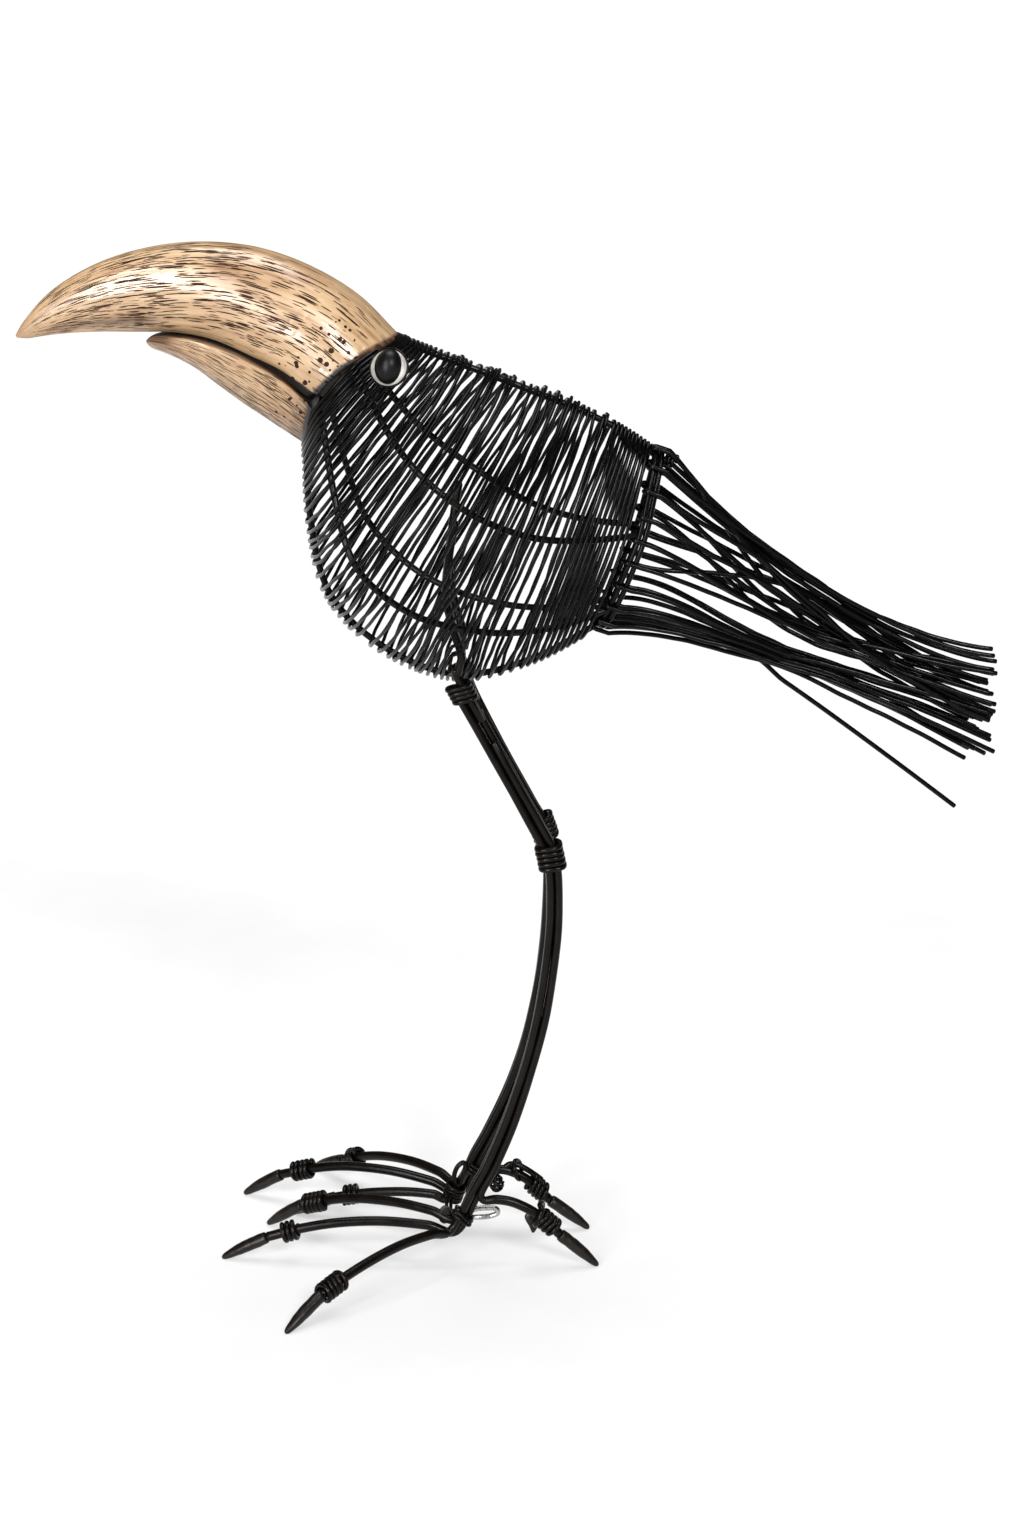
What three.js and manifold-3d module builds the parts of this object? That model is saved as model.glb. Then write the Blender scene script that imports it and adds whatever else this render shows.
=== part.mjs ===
// A bird sculpture: a carved horn beak on a body wound from black steel wire, with wire legs and tail.
// Millimetres, +Z up. The beak points along -X and the tail along +X, and the bird's left side faces -Y.
// The claw tips stand on z = 0, and the origin lies on that level below the middle of the figure.

import * as THREE from 'three';
import { mergeVertices } from 'three/addons/utils/BufferGeometryUtils.js';
import Module from 'manifold-3d';

const wasm = await Module();
wasm.setup();

// Wire sizes. A wire drawn with three sides is given by its corner radius.
const legWireRadius = 1.6;
const toeWireRadius = 2.1;
const ribRadius = 1.4;
const neckRingRadius = 0.9;
const tailRingRadius = 1.15;
const tailWireRadius = 1.1;
const weaveRadius = 0.85;
const wrapRadius = 1.05;
const airGap = 0.3;

// Body lines from neck to tail: spine and keel on the centre plane as [x, z], ribs as [x, distance out, z]
const spinePoints = [
  [-45.3, 400.5], [-27.1, 393.6], [-8.9, 386.6], [9.3, 379.6], [27.5, 372.5], [45.0, 363.7], [61.2, 352.9],
];
const upperRibPoints = [
  [-61.4, 26.3, 392.1], [-48.2, 43.0, 369.0], [-33.9, 52.4, 351.9], [-15.0, 52.7, 337.4],
  [6.8, 39.3, 326.0], [29.6, 24.0, 321.2], [54.4, 12.2, 320.9],
];
const lowerRibPoints = [
  [-77.2, 24.5, 375.1], [-71.2, 40.2, 341.2], [-61.8, 49.5, 313.6], [-40.6, 42.0, 293.5],
  [-12.2, 31.3, 283.5], [15.2, 20.8, 282.8], [42.3, 10.9, 289.6],
];
const keelPoints = [
  [-85.1, 357.8], [-84.2, 324.8], [-76.8, 292.9], [-54.5, 269.4], [-23.9, 257.5], [8.0, 264.2], [36.9, 280.1],
];
const ribClearance = 2.0;
const ribInset = weaveRadius + ribRadius + ribClearance;
const ribStart = 0.02;
const ribEnd = 0.945;
const ribSteps = 12;

// Winding: one strand that passes the spine, ribs and keel on the outside. The stops of a turn count the
// body lines from 0 at the spine to 3 at the keel, and the push parts the turns beside a hip.
const weaveTurns = 39;
const weaveStart = 0.052;
const weaveEnd = 0.925;
const weaveStops = [0, 0.5, 1, 2, 2.5, 3, 3.5, 4, 5, 5.5];
const hipPush = { 2: 1.2, 2.5: 3, 3.5: 3, 4: 1.2 };
const hipPushReach = 9;

// Rings at the two ends of the body, placed along its axis
const neckRingPlaces = [0.01, 0.03];
const tailAxis = new THREE.Vector3(0.949, 0, -0.317);
const tailRingSpacing = 2 * tailRingRadius + airGap;
const ringCorners = 16;

// Beak: matching points along its top edge, along the mouth and along the lower edge, as [x, z]
const beakTop = [
  [-45.6, 400.9], [-61.3, 416.7], [-80.4, 428.3], [-101.4, 435.7], [-123.6, 438.0],
  [-145.8, 435.7], [-167.1, 429.0], [-186.2, 417.5], [-200.8, 401.4],
];
const beakMouth = [
  [-75.6, 376.0], [-90.7, 387.0], [-104.3, 393.4], [-119.1, 399.3], [-134.6, 402.0],
  [-150.5, 402.1], [-166.6, 402.1], [-182.6, 401.1], [-199.2, 398.6],
];
const lowerBeakMouth = [
  [-76.8, 374.5], [-88.0, 383.2], [-99.0, 389.2], [-111.0, 394.6],
  [-123.6, 398.6], [-137.0, 400.5], [-147.0, 399.6],
];
const lowerBeakEdge = [
  [-86.3, 357.8], [-97.0, 364.9], [-107.6, 372.1], [-118.2, 380.0],
  [-128.6, 387.8], [-138.8, 393.3], [-147.6, 396.4],
];
const beakHalfWidth = 26.8;
const beakTipHalfWidth = 1.4;
const beakBaseBulge = 6.6;
const beakTaperPower = 0.92;
const mouthAngle = THREE.MathUtils.degToRad(120);
const tipMouthAngle = THREE.MathUtils.degToRad(166);
const mouthClosedFrom = 0.55;
const lowerBeakShare = 0.6;
const lowerTipAngle = THREE.MathUtils.degToRad(40);
const lowerTipWidthShare = 0.12;
const beakSideSteps = 6;
const lowerBeakSideSteps = 4;

// Eyes: a white disc on each side of the neck with a black bead on it, the right one set a little lower
const eyePlaces = {
  left: { centre: [-48.5, -30.8, 391.9], facing: [-0.42, -0.86, 0.28] },
  right: { centre: [-51.3, 36.1, 387.5], facing: [-0.42, 0.86, 0.28] },
};
const eyeDiscRadius = 7.5;
const eyeDiscThickness = 1.4;
const eyeBeadRadius = 6.0;
const eyeBeadHeight = 6.4;
const eyeDomeAngles = [0, 24, 48, 70];
const eyeSegments = 12;

// Legs: four wires in a square bundle. The lines run from hip to ankle as [x, z] at this distance out.
const legOut = 19;
const wireOffset = legWireRadius + airGap / 2;
const legLines = {
  left: [
    [-22.0, 259.0], [13.0, 194.0], [15.7, 187.4], [17.4, 178.6], [17.8, 164.5], [17.1, 148.5],
    [14.9, 129.5], [11.5, 110.5], [6.3, 89.5], [-0.7, 67.5], [-8.8, 47.4], [-15.1, 35.2],
  ],
  right: [
    [-22.0, 259.0], [-15.9, 242.0], [6.4, 199.2], [12.6, 189.0], [16.4, 178.0], [16.9, 165.5], [16.5, 151.0],
    [15.0, 132.5], [12.1, 111.5], [7.1, 89.5], [-0.2, 67.0], [-9.8, 45.8], [-15.4, 35.2],
  ],
};
const hipX = -22.0;
const hipTopHeight = 265;
const ankle = [-24.4, 17.4];
const heelBends = {
  left: [[-12.6, 36.4], [-13.5, 33.2], [-11.7, 31.2]],
  right: [[-14.1, 33.3], [-15.1, 29.9], [-13.4, 27.8]],
};
const innerLegLine = [
  [-20.6, 19.0, 273], [-23.8, 23.0, 284], [-26.6, 31, 300], [-25.0, 38.5, 317], [-22.0, 43.6, 340],
];
const innerWireSpread = 2.2;
const legCoils = {
  left: [
    { name: 'hip_wrap', at: [-20.2, 255.6], axis: [0.474, -0.881], turns: 3 },
    { name: 'knee_wrap', at: [15.9, 186.0], axis: [0.2, -0.98], turns: 5 },
    { name: 'ankle_tie', at: [-19.3, 26.8], axis: [-0.463, -0.886], turns: 2 },
  ],
  right: [
    { name: 'hip_wrap', at: [-20.8, 255.8], axis: [0.338, -0.941], turns: 3 },
    { name: 'knee_wrap', at: [13.8, 185.6], axis: [0.33, -0.944], turns: 5 },
    { name: 'ankle_tie', at: [-12.9, 40.0], axis: [-0.46, -0.888], turns: 2 },
  ],
};
const coilPitch = 2.1;
const coilClearance = 0.5;

// Claws: radii at these shares of the length. The tip's centre lies a little above the ground.
const clawLength = 22;
const clawGap = 0.85;
const clawStops = [0, 0.5, 0.77, 1];
const clawRadii = [2.65, 2.5, 1.8, 0.95];
const clawTipHeight = 0.4;

// Toes: claw tip as [x, y], height of the claw's base, arch of the toe, height of its bend at the
// ankle (the back toe bends at the heel), its place in the leg's bundle (front or rear, outer or
// inner), and the turns of its collar
const leftToes = [
  { name: 'outer', tip: [-93.6, -85.0], base: 11.0, arch: 4.5, bend: 17.2, front: 1, out: 1, turns: 5 },
  { name: 'middle', tip: [-126.4, -12.8], base: 10.4, arch: 6.0, bend: 15.2, front: -1, out: -1, turns: 3 },
  { name: 'inner', tip: [-109.4, 22.6], base: 13.0, arch: 5.5, bend: 20.8, front: 1, out: -1, turns: 5 },
  { name: 'back', tip: [37.4, -20.6], base: 15.0, arch: 5.5, front: -1, out: 1, turns: 4 },
];
const rightToes = [
  { name: 'outer', tip: [-92.6, 85.4], base: 10.0, arch: 6.0, bend: 21.4, front: 1, out: 1, turns: 3 },
  { name: 'middle', tip: [-122.6, 55.4], base: 12.4, arch: 7.5, bend: 16.4, front: -1, out: 1, turns: 4 },
  { name: 'inner', tip: [-98.6, 34.4], base: 10.0, arch: 2.5, bend: 15.8, front: 1, out: -1, turns: 3 },
  { name: 'back', tip: [34.4, 17.6], base: 14.0, arch: 6.0, front: -1, out: -1, turns: 4 },
];
const toeStops = [0.16, 0.38, 0.62, 0.82, 1];
const collarPathRadius = 4.0;
const collarCorners = 6;

// Tail: hairpins hooked round the tail rings, both strands running back between two edge curves
const hookPlaces = [0.28, 0.5, 0.78, 1.22, 1.5, 1.78, 2.42];
const hookRadius = 2.75;
const hookAngles = [0, 60, 120, 180];
const hookLead = 2.4;
const tailTop = { tipX: 202, tipHeight: 270, drop: 82, length: 139, bend: 1.6 };
const tailBottom = { startX: 37, startHeight: 281, drop: 57, length: 163, bend: 1.5 };
const outerLayer = 6.8;
const innerLayer = 2.3;
const strandStops = [0.13, 0.3, 0.5, 0.74, 1];
const outerTrims = [4, 12, 2, 8, 16, 6, 12];
const innerTrims = [0, 9, 14, 3, 10, 1, 13];
const looseTip = [186.5, 203.5];
const looseFrom = 0.3;

// Colours
const steelColour = 0x1d1b19;
const hornColour = 0xd9b98a;
const whiteColour = 0xe9e6df;
const beadColour = 0x08080a;

function wireMaterial() {
  return new THREE.MeshStandardMaterial({ color: steelColour, roughness: 0.42, metalness: 0.3 });
}

function hornMaterial() {
  return new THREE.MeshStandardMaterial({ color: hornColour, roughness: 0.35, metalness: 0 });
}

function eyeWhiteMaterial() {
  return new THREE.MeshStandardMaterial({ color: whiteColour, roughness: 0.3, metalness: 0 });
}

function beadMaterial() {
  return new THREE.MeshStandardMaterial({ color: beadColour, roughness: 0.08, metalness: 0 });
}

const bird = new THREE.Group();

function addPiece(name, geometry, material) {
  const mesh = new THREE.Mesh(geometry, material);
  mesh.name = name;
  bird.add(mesh);
  return mesh;
}

// A point on the centre plane from [x, z]
function onPlane([x, z]) {
  return new THREE.Vector3(x, 0, z);
}

// The same point on the other side of the bird
function mirrored(point) {
  return new THREE.Vector3(point.x, -point.y, point.z);
}

function smoothLine(points) {
  return new THREE.CatmullRomCurve3(points, false, 'catmullrom', 0.5);
}

// Closed skin over a row of rings with the same number of corners, capped at both ends or joined in a loop
function skinOver(rings, loop = false) {
  const size = rings[0].length;
  const index = [];
  const spans = loop ? rings.length : rings.length - 1;
  for (let ring = 0; ring < spans; ring += 1) {
    const here = ring * size;
    const next = ((ring + 1) % rings.length) * size;
    for (let corner = 0; corner < size; corner += 1) {
      const after = (corner + 1) % size;
      index.push(here + corner, here + after, next + after);
      index.push(here + corner, next + after, next + corner);
    }
  }
  if (!loop) {
    const last = (rings.length - 1) * size;
    for (let corner = 1; corner < size - 1; corner += 1) {
      index.push(0, corner + 1, corner);
      index.push(last, last + corner, last + corner + 1);
    }
  }
  const geometry = new THREE.BufferGeometry().setFromPoints(rings.flat());
  geometry.setIndex(index);
  geometry.computeVertexNormals();
  return geometry;
}

// Direction of a path at each of its points, halfway between the two stretches that meet there
function directionsAlong(path, loop) {
  return path.map((point, index) => {
    const before = path[index - 1] ?? (loop ? path[path.length - 1] : point);
    const after = path[index + 1] ?? (loop ? path[0] : point);
    const arriving = point.clone().sub(before).normalize();
    const leaving = after.clone().sub(point).normalize();
    return arriving.add(leaving).normalize();
  });
}

// Round wire along a path. The first corner of each ring looks towards facing, or is carried on
// from ring to ring. The radius is one number or a list with one number for each point.
function wireAlong(path, radius, sides, { loop = false, facing = null } = {}) {
  const directions = directionsAlong(path, loop);
  let carried = Math.abs(directions[0].z) < 0.9 ? new THREE.Vector3(0, 0, 1) : new THREE.Vector3(1, 0, 0);
  const rings = path.map((centre, index) => {
    const direction = directions[index];
    const normal = (facing ?? carried).clone().projectOnPlane(direction).normalize();
    carried = normal;
    const side = direction.clone().cross(normal);
    const size = Array.isArray(radius) ? radius[index] : radius;
    return Array.from({ length: sides }, (_, corner) => {
      const angle = (2 * Math.PI * corner) / sides;
      const point = centre.clone().addScaledVector(normal, size * Math.cos(angle));
      return point.addScaledVector(side, size * Math.sin(angle));
    });
  });
  return skinOver(rings, loop);
}

// Coil of wire about a straight axis. Each turn passes the given corners, as [along side, along upright].
function coilAbout(centre, axis, side, corners, turns) {
  const upright = axis.clone().cross(side).normalize();
  const steps = Math.round(turns * corners.length);
  const path = [];
  for (let step = 0; step <= steps; step += 1) {
    const [across, up] = corners[step % corners.length];
    const advance = coilPitch * (step / corners.length - turns / 2);
    const point = centre.clone().addScaledVector(axis, advance);
    path.push(point.addScaledVector(side, across).addScaledVector(upright, up));
  }
  return wireAlong(path, wrapRadius, 3, { facing: axis });
}

// Body lines from neck to tail, in the order spine, left ribs, keel, right ribs
const bodyLines = [
  smoothLine(spinePoints.map(onPlane)),
  ribLine(upperRibPoints, -1),
  ribLine(lowerRibPoints, -1),
  smoothLine(keelPoints.map(onPlane)),
  ribLine(lowerRibPoints, 1),
  ribLine(upperRibPoints, 1),
];

function ribLine(points, side) {
  return smoothLine(points.map(([x, out, z]) => new THREE.Vector3(x, side * out, z)));
}

// Point on the body's surface. Around counts the body lines, from 0 at the spine to 3 at the keel.
function bodySection(along) {
  const corners = bodyLines.map((line) => line.getPoint(along));
  return new THREE.CatmullRomCurve3(corners, true, 'catmullrom', 0.5);
}

function bodyPoint(along, around) {
  return bodySection(along).getPoint(around / bodyLines.length);
}

// The same point moved square to the surface, towards the inside of the body
function insetPoint(along, around, inset) {
  const section = bodySection(along);
  const share = around / bodyLines.length;
  const point = section.getPoint(share);
  const chord = section.getPoint(0.5).sub(section.getPoint(0));
  const sectionNormal = chord.cross(new THREE.Vector3(0, 1, 0)).normalize();
  const inward = sectionNormal.cross(sectionTangent(section, share)).normalize();
  return point.addScaledVector(inward, inset);
}

function sectionTangent(section, share) {
  const before = section.getPoint((share + 0.995) % 1);
  const after = section.getPoint((share + 0.005) % 1);
  return after.sub(before);
}

function addFrameWires() {
  const frameWires = [
    'spine_wire', 'left_upper_rib', 'left_lower_rib', 'keel_wire', 'right_lower_rib', 'right_upper_rib',
  ];
  frameWires.forEach((name, around) => {
    const path = [];
    for (let step = 0; step <= ribSteps; step += 1) {
      const along = THREE.MathUtils.lerp(ribStart, ribEnd, step / ribSteps);
      path.push(insetPoint(along, around, ribInset));
    }
    addPiece(name, wireAlong(path, ribRadius, 5), wireMaterial());
  });
}

// Ring of wire round the body's outline at one place, moved along the tail axis by shift
function ringPath(along, shift) {
  return Array.from({ length: ringCorners }, (_, corner) => {
    const around = (6 * corner) / ringCorners;
    return bodyPoint(along, around).addScaledVector(tailAxis, shift);
  });
}

function addEndRings() {
  neckRingPlaces.forEach((along, index) => {
    const path = ringPath(along, 0);
    const geometry = wireAlong(path, neckRingRadius, 5, { loop: true, facing: tailAxis });
    addPiece(`neck_ring_${index + 1}`, geometry, wireMaterial());
  });
  [-tailRingSpacing, 0].forEach((shift, index) => {
    const path = ringPath(1, shift);
    const geometry = wireAlong(path, tailRingRadius, 5, { loop: true, facing: tailAxis });
    addPiece(`tail_ring_${index + 1}`, geometry, wireMaterial());
  });
}

// The winding parts a little on each side of a hip, where two leg wires pass between its turns
function clearOfHip(point, around) {
  const distance = point.x - hipX;
  const push = (hipPush[around] ?? 0) * Math.exp(-((distance / hipPushReach) ** 2));
  return point.setX(point.x + Math.sign(distance) * push);
}

function addWinding() {
  const path = [];
  for (let step = 0; step <= weaveTurns * weaveStops.length; step += 1) {
    const turn = Math.floor(step / weaveStops.length);
    const around = weaveStops[step % weaveStops.length];
    const share = (turn + around / 6) / weaveTurns;
    const along = THREE.MathUtils.lerp(weaveStart, weaveEnd, share);
    path.push(clearOfHip(bodyPoint(along, around), around));
  }
  addPiece('body_winding', wireAlong(path, weaveRadius, 3, { facing: tailAxis }), wireMaterial());
}

// Half width of the whole beak at a share of its length from the neck
function beakWidthAt(share) {
  return beakTipHalfWidth + (beakHalfWidth - beakTipHalfWidth) * (1 - share) ** beakTaperPower;
}

// The base of the beak reaches forward at its sides, to fit the bent neck rings
function forwardBulge(share, angle) {
  return beakBaseBulge * (1 - share) ** 4 * Math.sin(angle) ** 2;
}

// One section of a beak piece: an arc from one angle to another about the beak's axis, closed by a flat
function beakSection(high, low, angles, width, share) {
  const span = Math.cos(angles[0]) - Math.cos(angles[angles.length - 1]);
  const drop = low.clone().sub(high);
  const forward = new THREE.Vector3(drop.z, 0, -drop.x).normalize();
  const arc = angles.map((angle) => {
    const point = high.clone().addScaledVector(drop, (Math.cos(angles[0]) - Math.cos(angle)) / span);
    point.addScaledVector(forward, forwardBulge(share, angle));
    point.y = width * Math.sin(angle);
    return point;
  });
  const otherSide = arc.filter((point) => Math.abs(point.y) > airGap / 10).map(mirrored).reverse();
  return [...arc, ...otherSide];
}

function addUpperBeak() {
  const last = beakTop.length - 1;
  const rings = beakTop.map((top, station) => {
    const share = station / last;
    const roundness = Math.min(1, share / mouthClosedFrom);
    const endAngle = THREE.MathUtils.lerp(mouthAngle, tipMouthAngle, roundness);
    const angles = Array.from({ length: beakSideSteps + 1 }, (_, step) => (endAngle * step) / beakSideSteps);
    return beakSection(onPlane(top), onPlane(beakMouth[station]), angles, beakWidthAt(share), share);
  });
  addPiece('upper_beak', skinOver(rings), hornMaterial());
}

function addLowerBeak() {
  const last = lowerBeakMouth.length - 1;
  const rings = lowerBeakMouth.map((mouth, station) => {
    const way = station / last;
    const share = lowerBeakShare * way;
    const taper = Math.sqrt(1 - (1 - lowerTipWidthShare ** 2) * way ** 3);
    const startAngle = THREE.MathUtils.lerp(mouthAngle, lowerTipAngle, way ** 2);
    const angles = Array.from({ length: lowerBeakSideSteps + 1 }, (_, step) => (
      THREE.MathUtils.lerp(startAngle, Math.PI, step / lowerBeakSideSteps)
    ));
    const width = beakWidthAt(share) * taper;
    return beakSection(onPlane(mouth), onPlane(lowerBeakEdge[station]), angles, width, share);
  });
  addPiece('lower_beak', skinOver(rings), hornMaterial());
}

function addEye(sideName) {
  const facing = new THREE.Vector3(...eyePlaces[sideName].facing).normalize();
  const centre = new THREE.Vector3(...eyePlaces[sideName].centre);
  const turn = new THREE.Quaternion().setFromUnitVectors(new THREE.Vector3(0, 1, 0), facing);
  const half = eyeDiscThickness / 2;
  const discOutline = [
    [0, -half], [eyeDiscRadius, -half], [eyeDiscRadius, 0], [eyeDiscRadius - half, half], [0, half],
  ];
  const disc = new THREE.LatheGeometry(discOutline.map(([r, h]) => new THREE.Vector2(r, h)), eyeSegments);
  const discMesh = addPiece(`${sideName}_eye_disc`, disc, eyeWhiteMaterial());
  discMesh.position.copy(centre);
  discMesh.quaternion.copy(turn);
  const dome = eyeDomeAngles.map((degrees) => {
    const angle = THREE.MathUtils.degToRad(degrees);
    return new THREE.Vector2(eyeBeadRadius * Math.cos(angle), eyeBeadHeight * Math.sin(angle));
  });
  const beadOutline = [new THREE.Vector2(0, 0), ...dome, new THREE.Vector2(0, eyeBeadHeight)];
  const bead = new THREE.LatheGeometry(beadOutline, eyeSegments);
  const beadMesh = addPiece(`${sideName}_eye_bead`, bead, beadMaterial());
  beadMesh.position.copy(centre).addScaledVector(facing, half + airGap);
  beadMesh.quaternion.copy(turn);
}

// Point number index of a leg line, moved to the place of one wire in the square bundle
function bundlePoint(line, index, side, front, out) {
  const here = onPlane(line[index]);
  const before = onPlane(line[Math.max(0, index - 1)]);
  const after = onPlane(line[Math.min(line.length - 1, index + 1)]);
  const down = after.sub(before).normalize();
  here.x += front * wireOffset * down.z;
  here.z -= front * wireOffset * down.x;
  here.y = side * (legOut + out * wireOffset);
  return here;
}

// Where the claw of a toe begins, and the direction in which it points
function clawPlace(toe, start) {
  const tip = new THREE.Vector3(toe.tip[0], toe.tip[1], clawTipHeight);
  const flat = tip.clone().sub(start).setZ(0).normalize();
  const drop = toe.base - clawTipHeight;
  const run = Math.sqrt(clawLength ** 2 - drop ** 2);
  const base = tip.clone().addScaledVector(flat, -run).setZ(toe.base);
  const direction = tip.clone().sub(base).normalize();
  return { base, tip, direction };
}

function toePath(toe, start, claw) {
  const end = claw.base.clone().addScaledVector(claw.direction, -clawGap);
  return toeStops.map((share) => {
    const point = start.clone().lerp(end, share);
    point.z += 4 * toe.arch * share * (1 - share);
    return point;
  });
}

// The bend where a wire leaves the leg: the back toe leaves at the heel, the others at the ankle.
// Past its bend each wire is hammered a little thicker.
function toeBend(toe, sideName, side) {
  const y = side * (legOut + toe.out * wireOffset);
  if (toe.name === 'back') {
    return heelBends[sideName].map(([x, z]) => new THREE.Vector3(x, y, z));
  }
  const [lastX, lastZ] = legLines[sideName].at(-1);
  const reach = (lastZ - toe.bend) / (lastZ - ankle[1]);
  const x = THREE.MathUtils.lerp(lastX, ankle[0], reach) - toe.front * wireOffset;
  return [new THREE.Vector3(x, y, toe.bend)];
}

function addToe(sideName, side, toe) {
  const bend = toeBend(toe, sideName, side);
  const start = bend[bend.length - 1];
  const claw = clawPlace(toe, start);
  const line = legLines[sideName].slice(0, toe.name === 'back' ? -1 : undefined);
  const leg = line.map((_, index) => bundlePoint(line, index, side, toe.front, toe.out));
  const inner = toe.front > 0 ? [] : innerWire(side, toe.out);
  const path = [...inner, ...leg, ...bend, ...toePath(toe, start, claw)];
  const legEnd = path.length - toeStops.length;
  const radii = path.map((_, index) => (index < legEnd ? legWireRadius : toeWireRadius));
  addPiece(`${sideName}_leg_${toe.name}_toe_wire`, wireAlong(path, radii, 5), wireMaterial());
  addPiece(`${sideName}_${toe.name}_toe_collar`, collarOn(path, toe.turns), wireMaterial());
  addPiece(`${sideName}_${toe.name}_claw`, clawFrom(claw), wireMaterial());
}

// The two rear wires of a leg go on through the winding and up to the upper rib
function innerWire(side, out) {
  const start = new THREE.Vector3(hipX, side * (legOut + out * wireOffset), hipTopHeight);
  const rest = innerLegLine.map(([x, distance, z]) => (
    new THREE.Vector3(x, side * (distance + out * innerWireSpread), z)
  ));
  return [start, ...rest].reverse();
}

// Collar of wire wound on the last stretch of a toe, just behind its claw
function collarOn(path, turns) {
  const last = path.length - 1;
  const centre = path[last - 1].clone().lerp(path[last], 0.35);
  const axis = path[last].clone().sub(path[last - 1]).normalize();
  const side = axis.clone().cross(new THREE.Vector3(0, 0, 1)).normalize();
  const corners = Array.from({ length: collarCorners }, (_, corner) => {
    const angle = (2 * Math.PI * corner) / collarCorners;
    return [collarPathRadius * Math.cos(angle), collarPathRadius * Math.sin(angle)];
  });
  return coilAbout(centre, axis, side, corners, turns);
}

// A claw is a tapered sleeve whose tip is flattened where it stands
function clawFrom({ base, tip }) {
  const path = clawStops.map((share) => base.clone().lerp(tip, share));
  const whole = toManifold(wireAlong(path, clawRadii, 6));
  return fromManifold(whole.trimByPlane([0, 0, 1], 0));
}

function toManifold(geometry) {
  const bare = geometry.clone();
  bare.deleteAttribute('normal');
  const merged = mergeVertices(bare);
  return new wasm.Manifold(new wasm.Mesh({
    numProp: 3,
    vertProperties: new Float32Array(merged.attributes.position.array),
    triVerts: new Uint32Array(merged.index.array),
  }));
}

function fromManifold(solid) {
  const mesh = solid.getMesh();
  const geometry = new THREE.BufferGeometry();
  geometry.setAttribute('position', new THREE.BufferAttribute(mesh.vertProperties, 3));
  geometry.setIndex(new THREE.BufferAttribute(mesh.triVerts, 1));
  geometry.computeVertexNormals();
  return geometry;
}

// Wraps that bind the four wires of a leg, each turn passing eight corners round the square bundle
function addLegCoils(sideName, side) {
  const reach = legWireRadius + wrapRadius * Math.cos(Math.PI / 6) + coilClearance;
  const far = wireOffset + reach;
  const near = wireOffset + reach * Math.tan(Math.PI / 8);
  const corners = [
    [far, near], [near, far], [-near, far], [-far, near],
    [-far, -near], [-near, -far], [near, -far], [far, -near],
  ];
  for (const { name, at, axis, turns } of legCoils[sideName]) {
    const centre = onPlane(at).setY(side * legOut);
    const direction = onPlane(axis).normalize();
    const geometry = coilAbout(centre, direction, new THREE.Vector3(0, 1, 0), corners, turns);
    addPiece(`${sideName}_${name}`, geometry, wireMaterial());
  }
}

// Height of the tail at a distance back, from 0 at its lower edge to 1 at its upper edge
function tailHeight(x, level) {
  const { tipX, tipHeight } = tailTop;
  const top = tipHeight + tailTop.drop * (Math.max(0, tipX - x) / tailTop.length) ** tailTop.bend;
  const back = Math.max(0, x - tailBottom.startX) / tailBottom.length;
  const bottom = tailBottom.startHeight - tailBottom.drop * back ** tailBottom.bend;
  return THREE.MathUtils.lerp(bottom, top, level);
}

// One strand of a hairpin, from the hook back to its tip
function strandPath(start, layer, levels, tipX, loose) {
  const [levelAtRing, levelAtTip] = levels;
  const offset = start.z - tailHeight(start.x, levelAtRing);
  return strandStops.map((share) => {
    const point = new THREE.Vector3(THREE.MathUtils.lerp(start.x, tipX, share), 0, 0);
    const blend = THREE.MathUtils.smoothstep(share, 0, 1);
    const level = THREE.MathUtils.lerp(levelAtRing, levelAtTip, blend);
    point.y = THREE.MathUtils.lerp(start.y, layer, THREE.MathUtils.smoothstep(share, 0, 0.6));
    point.z = tailHeight(point.x, level) + offset * (1 - share) ** 3;
    if (loose && share > looseFrom) {
      const drift = (share - looseFrom) / (1 - looseFrom);
      point.z = THREE.MathUtils.lerp(point.z, looseTip[1], drift ** 1.3);
    }
    return point;
  });
}

// A hairpin passes outside the two tail rings, turns between them and the winding, and returns inside
function addHairpin(index, sideName, side) {
  const around = side < 0 ? hookPlaces[index] : bodyLines.length - hookPlaces[index];
  const place = bodyPoint(1, around);
  const middle = bodyPoint(1, 0).lerp(bodyPoint(1, 3), 0.5);
  const ringDirection = bodyPoint(1, around + 0.05).sub(bodyPoint(1, around - 0.05));
  const outward = ringDirection.cross(tailAxis).normalize();
  outward.multiplyScalar(Math.sign(outward.dot(place.clone().sub(middle))));
  const at = (back, out) => place.clone().addScaledVector(tailAxis, back).addScaledVector(outward, out);
  const hook = hookAngles.map((degrees) => {
    const angle = THREE.MathUtils.degToRad(degrees);
    return at(-tailRingSpacing - hookRadius * Math.sin(angle), hookRadius * Math.cos(angle));
  });
  const outer = at(hookLead, hookRadius);
  const inner = at(hookLead, -hookRadius);
  const level = 1 - hookPlaces[index] / 3;
  const lowest = index === hookPlaces.length - 1;
  const loose = lowest && side < 0;
  const outerTipX = loose ? looseTip[0] : tailTop.tipX - outerTrims[index];
  const outerLevels = [level, 0.04 + 0.9 * level];
  const outerStrand = strandPath(outer, side * outerLayer, outerLevels, outerTipX, loose);
  const innerTipX = tailTop.tipX - innerTrims[index];
  const innerLevels = [level, 0.08 + 0.9 * level ** 1.4];
  const innerStrand = strandPath(inner, side * innerLayer, innerLevels, innerTipX, false);
  const path = [...outerStrand.reverse(), outer, ...hook, inner, ...innerStrand];
  addPiece(`${sideName}_tail_hairpin_${index + 1}`, wireAlong(path, tailWireRadius, 3), wireMaterial());
}

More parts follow.
